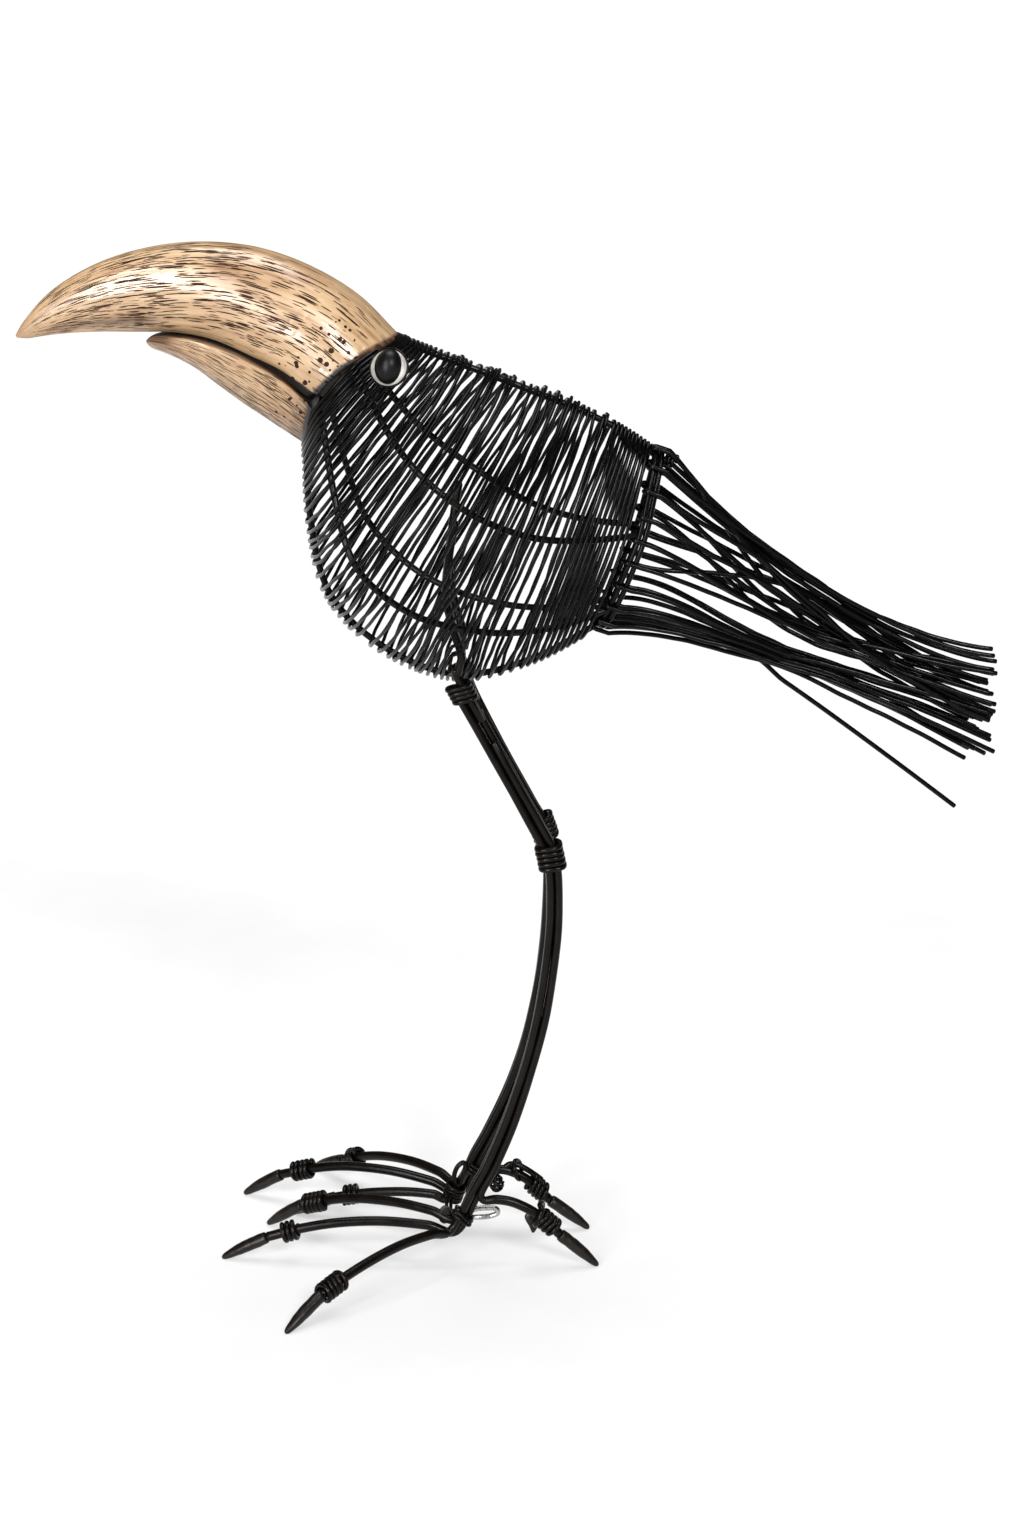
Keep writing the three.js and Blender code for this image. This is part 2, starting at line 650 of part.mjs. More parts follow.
addFrameWires();
addEndRings();
addWinding();
addUpperBeak();
addLowerBeak();
addEye('left');
addEye('right');
addLegCoils('left', -1);
addLegCoils('right', 1);
leftToes.forEach((toe) => addToe('left', -1, toe));
rightToes.forEach((toe) => addToe('right', 1, toe));
for (let index = 0; index < hookPlaces.length; index += 1) {
  addHairpin(index, 'left', -1);
  if (index > 0) {
    addHairpin(index, 'right', 1);
  }
}

export default bird;
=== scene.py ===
import math
import random

import bpy
import numpy as np
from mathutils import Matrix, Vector, noise


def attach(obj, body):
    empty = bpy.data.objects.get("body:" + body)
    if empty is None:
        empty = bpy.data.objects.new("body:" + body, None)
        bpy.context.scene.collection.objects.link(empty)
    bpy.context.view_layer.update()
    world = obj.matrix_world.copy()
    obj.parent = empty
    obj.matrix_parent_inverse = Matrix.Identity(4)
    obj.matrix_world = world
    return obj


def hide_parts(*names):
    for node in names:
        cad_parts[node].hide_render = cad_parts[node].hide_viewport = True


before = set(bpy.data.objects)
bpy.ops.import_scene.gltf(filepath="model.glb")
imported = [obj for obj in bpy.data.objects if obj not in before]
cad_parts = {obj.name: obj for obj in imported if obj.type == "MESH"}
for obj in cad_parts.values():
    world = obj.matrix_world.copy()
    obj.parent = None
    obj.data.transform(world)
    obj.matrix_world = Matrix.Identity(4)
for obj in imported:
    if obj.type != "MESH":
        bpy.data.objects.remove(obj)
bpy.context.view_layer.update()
print("frame loaded with", len(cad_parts), "nodes")

# Lengths are in millimetres until a mesh is written; the tail points along +X and the beak along -X
metre = 0.001
tailAxis = Vector((0.949, 0, -0.317))
sideways = Vector((0, 1, 0))
upward = Vector((0, 0, 1))
mapUnit = 100.0  # a mesh's grain map counts its first number in tenths of a metre


def mix(a, b, share):
    return a + (b - a) * share


def ease(share, low=0.0, high=1.0):
    share = min(1.0, max(0.0, (share - low) / (high - low)))
    return share * share * (3 - 2 * share)


def mirrored(point):
    return Vector((point.x, -point.y, point.z))


# A point on the smooth line through some points, which is the line that the solids follow too
def onLine(points, share, closed=False):
    count = len(points)
    place = share * count if closed else share * (count - 1)
    index = math.floor(place) if closed else max(0, min(math.floor(place), count - 2))
    weight = place - index
    if closed:
        before, start, end, after = (points[(index + step) % count] for step in (-1, 0, 1, 2))
    else:
        start, end = points[index], points[index + 1]
        before = points[index - 1] if index > 0 else start * 2 - end
        after = points[index + 2] if index + 2 < count else end * 2 - start
    leave = (end - before) * 0.5
    arrive = (after - start) * 0.5
    cubic = (start - end) * 2 + leave + arrive
    square = (end - start) * 3 - leave * 2 - arrive
    return cubic * weight**3 + square * weight**2 + leave * weight + start


def smoothPath(points, spacing, closed=False):
    ends = points + points[:1] if closed else points
    length = sum((b - a).length for a, b in zip(ends, ends[1:]))
    steps = max(2 * len(points), round(length / spacing))
    return [onLine(points, step / steps, closed) for step in range(steps + (not closed))]


noise.seed_set(7)  # without it the clock seeds the stray of the bent wires


# A wire that was bent by hand isn't true: each point strays a little, and the same way on every run
def handBent(path, stray, spacing, seed):
    bent = []
    for point in path:
        away = noise.noise_vector(point / spacing + Vector((seed * 7.3, seed * 1.9, seed * 3.1)))
        bent.append(point + away * stray)
    return bent


# One round wire as rings of corners. Its ends are rounded over, as nippers and a file leave them.
def wireRings(path, radius, sides, closed=False, facing=None, flat=1.0, nipped=True):
    path = [Vector(point) for point in path]
    radii = list(radius) if isinstance(radius, (list, tuple)) else [radius] * len(path)
    if not closed and nipped:
        first = (path[0] - path[1]).normalized()
        last = (path[-1] - path[-2]).normalized()
        path = [path[0] + first * radii[0] * 0.42, path[0] + first * radii[0] * 0.26, *path,
                path[-1] + last * radii[-1] * 0.26, path[-1] + last * radii[-1] * 0.42]
        radii = [radii[0] * 0.5, radii[0] * 0.84, *radii, radii[-1] * 0.84, radii[-1] * 0.5]
    points = np.array(path, float)
    if closed:
        ahead = np.roll(points, -1, 0) - points
        behind = points - np.roll(points, 1, 0)
    else:
        steps = np.diff(points, axis=0)
        ahead = np.vstack([steps, steps[-1:]])
        behind = np.vstack([steps[:1], steps])
    ahead /= np.linalg.norm(ahead, axis=1)[:, None]
    behind /= np.linalg.norm(behind, axis=1)[:, None]
    along = ahead + behind
    along /= np.linalg.norm(along, axis=1)[:, None]
    carried = np.array(facing if facing else ((0, 0, 1) if abs(along[0][2]) < 0.9 else (1, 0, 0)), float)
    normals = np.empty_like(points)
    for index, direction in enumerate(along):
        normal = (np.array(facing, float) if facing else carried)
        normal = normal - direction * (normal @ direction)
        normal /= np.linalg.norm(normal)
        normals[index] = carried = normal
    across = np.cross(along, normals)
    angles = np.arange(sides) * 2 * math.pi / sides
    size = np.array(radii)[:, None, None]
    rings = points[:, None] + size * (np.cos(angles)[None, :, None] * normals[:, None] * flat
                                      + np.sin(angles)[None, :, None] * across[:, None])
    travelled = np.concatenate([[0], np.cumsum(np.linalg.norm(np.diff(points, axis=0), axis=1))])
    return {"rings": rings, "closed": closed, "travelled": travelled}


# Join rows of rings into one mesh, with a map of millimetres along and turns around for the finish
def skin(name, parts, sharpAngle=50):
    corners, faces, marks, tints = [], [], [], []
    offset = 0
    for part in parts:
        rings, closed, travelled = part["rings"], part["closed"], part["travelled"]
        count, sides = rings.shape[:2]
        corners.append(rings.reshape(-1, 3))
        if "tints" in part:
            tints.append(part["tints"].reshape(-1, 4))
        for ring in range(count if closed else count - 1):
            here = offset + ring * sides
            there = offset + (ring + 1) % count * sides
            u0 = travelled[ring]
            u1 = travelled[ring + 1] if ring + 1 < count else travelled[ring] + 1
            for side in range(sides):
                after = (side + 1) % sides
                faces.append((here + side, here + after, there + after, there + side))
                v0, v1 = side / sides, (side + 1) / sides
                marks += [u0, v0, u0, v1, u1, v1, u1, v0]
        if not closed:
            last = offset + (count - 1) * sides
            faces.append(tuple(offset + side for side in reversed(range(sides))))
            faces.append(tuple(last + side for side in range(sides)))
            for end in (travelled[0], travelled[-1]):
                for side in range(sides):
                    marks += [end, side / sides]
        offset += count * sides
    mesh = bpy.data.meshes.new(name)
    mesh.from_pydata((np.vstack(corners) * metre).tolist(), [], faces)
    layer = mesh.uv_layers.new(name="grain")
    spread = np.array(marks, np.float32).reshape(-1, 2)
    spread[:, 0] /= mapUnit
    layer.data.foreach_set("uv", spread.ravel())
    if tints:
        workedAndShaded = mesh.color_attributes.new("workedAndShaded", "FLOAT_COLOR", "POINT")
        workedAndShaded.data.foreach_set("color", np.vstack(tints).astype(np.float32).ravel())
    mesh.polygons.foreach_set("use_smooth", [True] * len(mesh.polygons))
    mesh.set_sharp_from_angle(angle=math.radians(sharpAngle))
    return mesh


def place(name, mesh, material, slotName, *nodes):
    piece = bpy.data.objects.new(name, mesh)
    bpy.context.scene.collection.objects.link(piece)
    mesh.materials.append(material)
    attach(piece, "root")
    if nodes:
        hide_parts(*nodes)
    return piece


# A piece that is bent from round wires
def placeWires(name, paths, radius, sides, material, *nodes, closed=False, facing=None):
    parts = [wireRings(path, radius, sides, closed, facing) for path in paths]
    return place(name, skin(name, parts), material, "steel_wire", *nodes)


# Colours are written as they look on a screen and turned to the linear values that light works with
def linear(hexColour):
    channels = [int(hexColour[place:place + 2], 16) / 255 for place in (1, 3, 5)]
    return (*[c / 12.92 if c <= 0.04045 else ((c + 0.055) / 1.055) ** 2.4 for c in channels], 1.0)


# Fill a node's inputs with values, with outputs, or with nodes, which stand for their first output
def feed(tree, node, inputs):
    for key, value in inputs.items():
        if isinstance(value, bpy.types.Node):
            value = value.outputs[0]
        if isinstance(value, bpy.types.NodeSocket):
            tree.links.new(value, node.inputs[key])
        else:
            node.inputs[key].default_value = value


def addNode(tree, kind, settings=None, inputs=None):
    node = tree.nodes.new("ShaderNode" + kind)
    for key, value in (settings or {}).items():
        setattr(node, key, value)
    feed(tree, node, inputs or {})
    return node


def newMaterial(name):
    material = bpy.data.materials.new(name)
    material.use_nodes = True
    tree = material.node_tree
    return material, tree, tree.nodes["Principled BSDF"]


def colourRamp(tree, source, stops):
    ramp = addNode(tree, "ValToRGB", inputs={"Fac": source})
    while len(ramp.color_ramp.elements) < len(stops):
        ramp.color_ramp.elements.new(0.5)
    for element, (position, colour) in zip(ramp.color_ramp.elements, stops):
        element.position = position
        element.color = linear(colour)
    return ramp


# Soft steel wire, drawn, annealed black and oiled: it gives a near black with a brown cast, and a thin
# bright line of gloss that runs along each wire
def annealedWire(name, look):
    material, tree, shader = newMaterial(name)
    place = addNode(tree, "TexCoord").outputs["Object"]
    lengthwise = addNode(tree, "UVMap", {"uv_map": "grain"})
    patches, grit = (addNode(tree, "TexNoise", inputs={
        "Vector": place, "Scale": 1 / (look[size] * metre), "Detail": detail})
        for size, detail in (("patch", 3.0), ("grit", 2.0)))
    drawn = addNode(tree, "Mapping", inputs={
        "Vector": lengthwise, "Scale": (mapUnit / look["dieLine"], 14.0, 1.0)})
    lines = addNode(tree, "TexNoise", inputs={"Vector": drawn, "Scale": 1.0, "Detail": 2.0})
    uneven = addNode(tree, "Math", {"operation": "ADD"}, {0: lines, 1: grit})
    feed(tree, shader, {
        "Base Color": colourRamp(tree, patches, [(0.3, look["dark"]), (0.72, look["light"])]),
        "Roughness": addNode(tree, "MapRange", inputs={
            "Value": patches, "From Min": 0.3, "From Max": 0.7,
            "To Min": look["roughness"][0], "To Max": look["roughness"][1]}),
        "Normal": addNode(tree, "Bump", inputs={
            "Height": uneven, "Strength": look["bump"], "Distance": 0.0002}),
        "Metallic": look["metallic"], "IOR": 1.5, "Specular IOR Level": look["specular"]})
    return material


# The die lines of the real wire are finer than a tenth of a millimetre; they are drawn coarser, to show
legWireLook = {"dark": "#040302", "light": "#0e0906", "roughness": (0.22, 0.32), "metallic": 0.0,
               "specular": 0.15, "patch": 9.0, "dieLine": 14.0, "grit": 0.5, "bump": 0.22}
thinWireLook = {"dark": "#020202", "light": "#070605", "roughness": (0.17, 0.25), "metallic": 0.0,
                "specular": 0.12, "patch": 5.0, "dieLine": 9.0, "grit": 0.4, "bump": 0.16}
clawLook = {"dark": "#080604", "light": "#171009", "roughness": (0.3, 0.42), "metallic": 0.0,
            "specular": 0.26, "patch": 4.0, "dieLine": 5.0, "grit": 0.6, "bump": 0.35}
legWire = annealedWire("annealed_leg_wire", legWireLook)
thinWire = annealedWire("annealed_thin_wire", thinWireLook)
clawSteel = annealedWire("hammered_claw_steel", clawLook)

# Body: six lines from neck to tail, spine and keel as [x, z] and ribs as [x, distance out, z]
bodyShape = {
    "spine": [(-45.3, 400.5), (-27.1, 393.6), (-8.9, 386.6), (9.3, 379.6), (27.5, 372.5), (45.0, 363.7),
              (61.2, 352.9)],
    "upperRib": [(-61.4, 26.3, 392.1), (-48.2, 43.0, 369.0), (-33.9, 52.4, 351.9), (-15.0, 52.7, 337.4),
                 (6.8, 39.3, 326.0), (29.6, 24.0, 321.2), (54.4, 12.2, 320.9)],
    "lowerRib": [(-77.2, 24.5, 375.1), (-71.2, 40.2, 341.2), (-61.8, 49.5, 313.6), (-40.6, 42.0, 293.5),
                 (-12.2, 31.3, 283.5), (15.2, 20.8, 282.8), (42.3, 10.9, 289.6)],
    "keel": [(-85.1, 357.8), (-84.2, 324.8), (-76.8, 292.9), (-54.5, 269.4), (-23.9, 257.5), (8.0, 264.2),
             (36.9, 280.1)],
    "ribRadius": 1.4, "ringRadius": 1.15, "neckWireRadius": 0.95, "weaveRadius": 0.76,
}


def centreLine(points):
    return [Vector((x, 0, z)) for x, z in points]


def ribLine(points, side):
    return [Vector((x, side * out, z)) for x, out, z in points]


bodyLines = [
    centreLine(bodyShape["spine"]),
    ribLine(bodyShape["upperRib"], -1), ribLine(bodyShape["lowerRib"], -1),
    centreLine(bodyShape["keel"]),
    ribLine(bodyShape["lowerRib"], 1), ribLine(bodyShape["upperRib"], 1),
]


# A place on the wound body: along runs from neck to tail, around counts the lines from the spine
def bodyPoint(along, around, outward=0.0):
    section = [onLine(line, along) for line in bodyLines]
    share = around / 6 % 1
    point = onLine(section, share, True)
    if outward:
        tangent = onLine(section, (share + 0.005) % 1, True) - onLine(section, (share + 0.995) % 1, True)
        square = (section[3] - section[0]).cross(sideways).normalized()
        point = point + tangent.cross(square).normalized() * outward
    return point


# The six wires of the cage, each just inside the winding
def buildCage():
    names = ["spine_wire", "left_upper_rib", "left_lower_rib",
             "keel_wire", "right_lower_rib", "right_upper_rib"]
    inside = bodyShape["ribRadius"] + bodyShape["weaveRadius"]
    for around, node in enumerate(names):
        path = [bodyPoint(mix(0.006, 0.985, step / 60), around, -inside) for step in range(61)]
        path = handBent(path, 0.35, 30, around)
        placeWires(node + "_bent", [path], bodyShape["ribRadius"], 14, legWire, node)


def ringPath(along, shift, corners=72):
    return [bodyPoint(along, 6 * corner / corners) + tailAxis * shift for corner in range(corners)]


def buildEndRings():
    neckRings = {"neck_ring_1": (-0.002, 0.009), "neck_ring_2": (0.02, 0.031)}
    for seed, (node, alongs) in enumerate(neckRings.items()):
        paths = [handBent(ringPath(along, 0), 0.3, 15, 2 * seed + turn + 20)
                 for turn, along in enumerate(alongs)]
        placeWires(node + "_wires", paths, bodyShape["neckWireRadius"], 10, thinWire, node,
                   closed=True, facing=tailAxis)
    for index, shift in enumerate((-2.5, 0)):
        path = handBent(ringPath(1, shift), 0.25, 15, index + 24)
        placeWires(f"tail_ring_wire_{index + 1}", [path], bodyShape["ringRadius"], 12, thinWire,
                   f"tail_ring_{index + 1}", closed=True, facing=tailAxis)


# Winding: close and even at both ends, loose and uneven between, with some turns drawn together
winding = {"turns": 50, "start": 0.037, "end": 0.957, "closeAtNeck": 5, "closeAtTail": 9,
           "closeSpacing": 0.78, "unevenness": 0.42, "pairChance": 0.32, "pairMove": 0.4,
           "pointsPerTurn": 96, "strayAtSpine": 0.22, "strayOnFlank": 0.95, "strayGain": 3.2,
           "ripple": 0.34, "highestClimb": 1.6, "hipX": -22.0, "hipReach": 8.0, "hipPush": 2.6}


def turnPlaces(chance):
    shares = []
    turns = winding["turns"]
    for turn in range(turns + 1):
        if turn < winding["closeAtNeck"] or turn >= turns - winding["closeAtTail"]:
            shares.append(winding["closeSpacing"])
        else:
            shares.append(1 + chance.uniform(-1, 1) * winding["unevenness"])
    for turn in range(winding["closeAtNeck"], turns - winding["closeAtTail"] - 1):
        if chance.random() < winding["pairChance"]:
            moved = winding["pairMove"] * shares[turn]
            shares[turn] -= moved
            shares[turn + 1] += moved
    places = [0.0]
    for share in shares:
        places.append(places[-1] + share)
    span = places[turns]
    return [mix(winding["start"], winding["end"], place / span) for place in places]


# The turns part where the legs come out
def partedAtHip(point, around):
    nearKeel = max(0.0, 1 - abs(abs(around - 3) - 0.5) / 0.9)
    distance = point.x - winding["hipX"]
    push = winding["hipPush"] * nearKeel * math.exp(-((distance / winding["hipReach"]) ** 2))
    return Vector((point.x + math.copysign(push, distance), point.y, point.z))


# Millimetres of body length for a whole run from neck to tail, at each place around
def runLength(around):
    steps = [bodyPoint(step / 12, around) for step in range(13)]
    return sum((b - a).length for a, b in zip(steps, steps[1:]))


def buildWinding():
    places = turnPlaces(random.Random(11))
    turns, perTurn = winding["turns"], winding["pointsPerTurn"]
    lengths = [runLength(6 * k / perTurn) for k in range(perTurn)]
    alongs = np.zeros(turns * perTurn + 1)
    for step in range(len(alongs)):
        turn, rest = divmod(step, perTurn)
        around = 6 * rest / perTurn
        along = mix(places[turn], places[turn + 1], around / 6)
        flank = 0.5 - 0.5 * math.cos(2 * math.pi * around / 3)
        loose = ease(turn, 2, 8) * (1 - ease(turn, turns - 12, turns - 7))
        slack = mix(winding["strayAtSpine"], winding["strayOnFlank"], flank) * (0.12 + 0.88 * loose)
        strayMm = slack * winding["strayGain"] * noise.noise(Vector((turn * 1.71, around * 0.8, 4.2)))
        ripple = winding["ripple"] * (0.3 + 0.7 * loose)
        strayMm += ripple * 2 * noise.noise(Vector((turn * 5.3, around * 4.5, 2.2)))
        alongs[step] = along + strayMm / lengths[rest]
    # A turn that comes too close to the one before climbs over it
    diameter = 2 * bodyShape["weaveRadius"]
    lift = np.zeros(len(alongs))
    for step in range(perTurn, len(alongs)):
        gap = abs(alongs[step] - alongs[step - perTurn]) * lengths[step % perTurn]
        if gap < diameter:
            climb = lift[step - perTurn] * 0.5 + math.sqrt(diameter**2 - gap**2)
            lift[step] = min(winding["highestClimb"], climb)
    for _ in range(3):
        lift = np.maximum(lift, np.convolve(lift, [0.25, 0.5, 0.25], "same"))
    path = []
    for step in range(len(alongs)):
        around = 6 * (step % perTurn) / perTurn
        path.append(partedAtHip(bodyPoint(float(alongs[step]), around, 0.01 + float(lift[step])), around))
    placeWires("body_winding_wire", [path], bodyShape["weaveRadius"], 8, thinWire, "body_winding",
               facing=tailAxis)
    print("winding:", turns, "turns")


buildCage()
buildEndRings()
buildWinding()

# Beak: matching points along its top edge, along the mouth and along the lower edge, as [x, z]
beakShape = {
    "top": [(-45.6, 400.9), (-61.3, 416.7), (-80.4, 428.3), (-101.4, 435.7), (-123.6, 438.0),
            (-145.8, 435.7), (-167.1, 429.0), (-186.2, 417.5), (-200.8, 401.4)],
    "mouth": [(-75.6, 376.0), (-90.7, 387.0), (-104.3, 393.4), (-119.1, 399.3), (-134.6, 402.0),
              (-150.5, 402.1), (-166.6, 402.1), (-182.6, 401.1), (-199.2, 398.6)],
    "lowerMouth": [(-76.8, 374.5), (-88.0, 383.2), (-99.0, 389.2), (-111.0, 394.6), (-123.6, 398.6),
                   (-137.0, 400.5), (-147.0, 399.6)],
    "lowerEdge": [(-86.3, 357.8), (-97.0, 364.9), (-107.6, 372.1), (-118.2, 380.0), (-128.6, 387.8),
                  (-138.8, 392.9), (-147.6, 395.8)],
    "halfWidth": 26.8, "tipHalfWidth": 1.4, "taperPower": 0.92, "baseBulge": 6.6,
    "mouthAngle": 120, "tipMouthAngle": 166, "closedFrom": 0.55, "lowerShare": 0.6, "lowerTipAngle": 40,
    "tipWidthShare": 0.12, "facet": 0.35, "flute": 0.22, "pit": 0.5, "rootLength": 4.5, "rootShrink": 0.9,
    "closeMouth": (-0.55, 1.15), "roundFrom": {"upper": 0.962, "lower": 0.925}, "crowdTip": 1.15,
}
girth = 110.0  # the beak's grain is measured around a middle girth, so it closes up towards the tip


def beakHalfWidth(share):
    tip = beakShape["tipHalfWidth"]
    return tip + (beakShape["halfWidth"] - tip) * (1 - share) ** beakShape["taperPower"]


# Half a section of a beak piece, from one angle to another about the beak's own axis
def beakArc(high, low, angles, width, share):
    span = math.cos(angles[0]) - math.cos(angles[-1])
    drop = low - high
    forward = Vector((drop.z, 0, -drop.x)).normalized()
    arc = []
    for angle in angles:
        point = high + drop * ((math.cos(angles[0]) - math.cos(angle)) / span)
        point += forward * (beakShape["baseBulge"] * (1 - share) ** 4 * math.sin(angle) ** 2)
        arc.append(Vector((point.x, width * math.sin(angle), point.z)))
    return arc


# Low relief of the beak: planed facets, long flutes along the grain, and pits near the collar
def relief(along, turn, share):
    facets = noise.noise(Vector((along / 34, turn * girth / 13, 3.0))) * beakShape["facet"]
    flutes = noise.noise(Vector((along / 26, turn * girth / 3.4, 8.0))) * beakShape["flute"]
    nearCollar = 1 - ease(share, 0.1, 0.3)
    pits = max(0.0, noise.noise(Vector((along / 2.6, turn * girth / 2.6, 5.0))) - 0.32)
    return facets + flutes - pits * beakShape["pit"] * nearCollar * 2


# How thickly the cuts lie, from the base to the tip in rows and from the ridge down to the mouth across
cutsOnUpper = {
    "along": [0.0, 0.1, 0.25, 0.42, 0.58, 0.75, 0.9, 0.955],
    "down": [0.0, 0.12, 0.3, 0.48, 0.64, 0.8, 0.92, 1.0],
    "rows": [
        (0.15, 0.10, 0.20, 0.30, 0.40, 0.30, 0.30, 0.40), (0.10, 0.15, 0.45, 0.40, 0.62, 0.35, 0.15, 0.10),
        (0.05, 0.25, 0.60, 0.66, 0.80, 0.62, 0.15, 0.05), (0.12, 0.55, 0.76, 0.80, 0.95, 0.85, 0.20, 0.05),
        (0.45, 0.75, 0.90, 0.66, 0.85, 0.98, 0.55, 0.10), (0.55, 0.80, 0.74, 0.62, 0.85, 1.00, 0.70, 0.10),
        (0.40, 0.70, 0.45, 0.60, 0.80, 0.85, 0.30, 0.05), (0.00, 0.10, 0.00, 0.05, 0.05, 0.05, 0.00, 0.00),
    ],
}


def tableValue(table, along, down):
    row = [float(np.interp(down, table["down"], values)) for values in table["rows"]]
    return float(np.interp(along, table["along"], row))


# Stain, painted shade and cuts for a place on the beak's outside: red is stain, with painted shade along the
# mouth slit and under the lower beak, green is cuts, blue is pits and spots
def workedAndShadedUpper(share, down):
    # Painted shade: the edge along the mouth slit darkens
    slitShade = ease(down, 0.985, 1.0)
    band = 0.6 * ease(share, 0.5, 0.62) * (1 - ease(share, 0.86, 0.95))
    band *= math.exp(-(((down - 0.8) / 0.09) ** 2))
    ridge = 0.3 * ease(share, 0.5, 0.7) * (1 - ease(share, 0.8, 0.94)) * (1 - ease(down, 0.0, 0.1))
    tip = 0.3 * ease(share, 0.86, 1.0)
    collar = 0.9 * (1 - ease(share, 0.002, 0.014))
    collar += 0.3 * (1 - ease(share, 0.0, 0.12)) * ease(down, 0.5, 0.9)
    pits = (1 - ease(share, 0.06, 0.24)) * ease(down, 0.28, 0.5)
    stainAndShade = min(1.0, 0.55 * slitShade + band + ridge + tip + collar)
    return (stainAndShade, tableValue(cutsOnUpper, share, down), pits, 1.0)


def workedAndShadedLower(way, down):
    # Painted shade: the lip along the mouth slit and the underside, which faces away from the lights, darken
    slitShade = 1 - ease(down, 0.0, 0.02)
    tip = 0.7 * ease(way, 0.72, 0.86) * (1 - ease(down, 0.2, 0.65))
    undersideShade = 0.5 * ease(down, 0.6, 0.85)
    base = 0.75 * (1 - ease(way, 0.02, 0.12)) + 0.2
    cuts = 0.6 * (1 - ease(way, 0.5, 0.8)) * ease(down, 0.05, 0.2) + 0.45
    pits = 0.8 * (1 - ease(way, 0.1, 0.35))
    return (min(1.0, 0.7 * slitShade + tip + undersideShade * 0.6 + base * 0.5), cuts, pits, 1.0)


paintedShadeTint = (1.0, 0.0, 0.0, 1.0)  # the inside of the mouth is all painted shade, without cuts, so it turns near black


def beakRings(upper, count, around):
    topLine = centreLine(beakShape["top"] if upper else beakShape["lowerMouth"])
    lowLine = centreLine(beakShape["mouth"] if upper else beakShape["lowerEdge"])
    if not upper:  # the lower beak closes up to the mouth a little more than its solid does
        lift = Vector((beakShape["closeMouth"][0], 0, beakShape["closeMouth"][1]))
        topLine = [point + lift * (1 - 0.5 * ease(step / 6, 0.7, 1.0)) for step, point in enumerate(topLine)]
    roundFrom = beakShape["roundFrom"]["upper" if upper else "lower"]
    rings, tints, travelled = [], [], []
    before = None
    distance = 0.0
    for station in range(count):
        way = 1 - (1 - station / (count - 1)) ** beakShape["crowdTip"]
        high, low = onLine(topLine, way), onLine(lowLine, way)
        if upper:
            share = way
            closed = min(1, share / beakShape["closedFrom"])
            lastAngle = math.radians(mix(beakShape["mouthAngle"], beakShape["tipMouthAngle"], closed))
            firstAngle, width = 0.0, beakHalfWidth(share)
        else:
            share = beakShape["lowerShare"] * way
            firstAngle = math.radians(mix(beakShape["mouthAngle"], beakShape["lowerTipAngle"], way**2))
            narrowed = math.sqrt(1 - (1 - beakShape["tipWidthShare"] ** 2) * way**3)
            lastAngle, width = math.pi, beakHalfWidth(share) * narrowed
        roundOver = math.sqrt(max(0.0, 1 - max(0.0, (way - roundFrom) / (1.0015 - roundFrom)) ** 2))
        middle = (high + low) * 0.5
        high, low, width = mix(middle, high, roundOver), mix(middle, low, roundOver), width * roundOver
        angles = [mix(firstAngle, lastAngle, step / around) for step in range(around + 1)]
        arc = beakArc(high, low, angles, width, share)
        downs = [step / around for step in range(around + 1)]
        # From the middle of one side over the outside to the other, then back along the flat of the mouth
        if upper:
            section = arc[::-1] + [mirrored(point) for point in arc[1:]]
            places = downs[::-1] + downs[1:]
        else:
            section = arc + [mirrored(point) for point in arc[-2::-1]]
            places = downs + downs[-2::-1]
        start, end = section[-1], section[0]
        bowed = (high - low).normalized() * (0.06 * width if upper else 0.03 * width)
        flatSteps = max(4, around // 5)
        for step in range(1, flatSteps):
            flat = step / flatSteps
            section.append(mix(start, end, flat) + bowed * math.sin(math.pi * step / flatSteps))
            places.append(None)
        section = [(section[i - 1] + section[i] * 2 + section[(i + 1) % len(section)]) / 4
                   for i in range(len(section))]
        centre = sum(section, Vector()) / len(section)
        if before is not None:
            distance += (centre - before).length
        before = centre
        carved, ringTints = [], []
        for index, (point, down) in enumerate(zip(section, places)):
            if down is None:
                carved.append(point)
                ringTints.append(paintedShadeTint)
                continue
            strength = min(1.0, width / 6) * ease(1 - abs(2 * down - 1), 0.0, 0.08)
            raised = (relief(distance, index / len(section), share) - 0.2) * strength
            carved.append(point + (point - centre).normalized() * raised)
            ringTints.append(workedAndShadedUpper(share, down) if upper else workedAndShadedLower(way, down))
        rings.append(carved)
        tints.append(ringTints)
        travelled.append(distance)
    # A short root goes on into the neck, below the rings of wire; it takes the same near-black painted shade
    into = Vector((0.72, 0, -0.69)) * beakShape["rootLength"]
    base = rings[0]
    centre = sum(base, Vector()) / len(base)
    for reach in (0.35, 1.0):
        size = mix(1.0, beakShape["rootShrink"], reach)
        rings.insert(0, [centre + (point - centre) * size + into * reach for point in base])
        tints.insert(0, [paintedShadeTint] * len(base))
        travelled.insert(0, travelled[0] - 1.5)
    points, marks = np.array(rings, float), np.array(tints, float)
    if upper:
        points, marks = points[:, ::-1], marks[:, ::-1]
    return {"rings": points, "closed": False, "travelled": np.array(travelled), "tints": marks}


# Horn that was carved with short strokes along its length, stained dark in the cuts and polished on the
# raised parts: it gives a warm tan with fine dark strokes under a clear gloss. Each layer of strokes has its
# length and width in millimetres, its fill of a cell, its offset and its chance.
# The near-black colour after the cut colour is painted shade for the inside of the mouth slit.
beakLook = {"pale": "#b89a76", "tan": "#a3825f", "brown": "#80593a", "stainAndShade": "#3a2010", "cut": "#2b1609",
            "slitShade": "#120b08", "roughness": (0.24, 0.36), "cutRoughness": 0.55,
            "strokes": [(15.0, 0.85, 0.4, 0.0, 1.0), (10.0, 0.75, 0.4, 5.3, 0.95),
                        (20.0, 0.95, 0.38, 11.7, 1.0), (7.0, 0.7, 0.42, 17.9, 0.6),
                        (13.0, 0.8, 0.38, 29.3, 0.95)]}


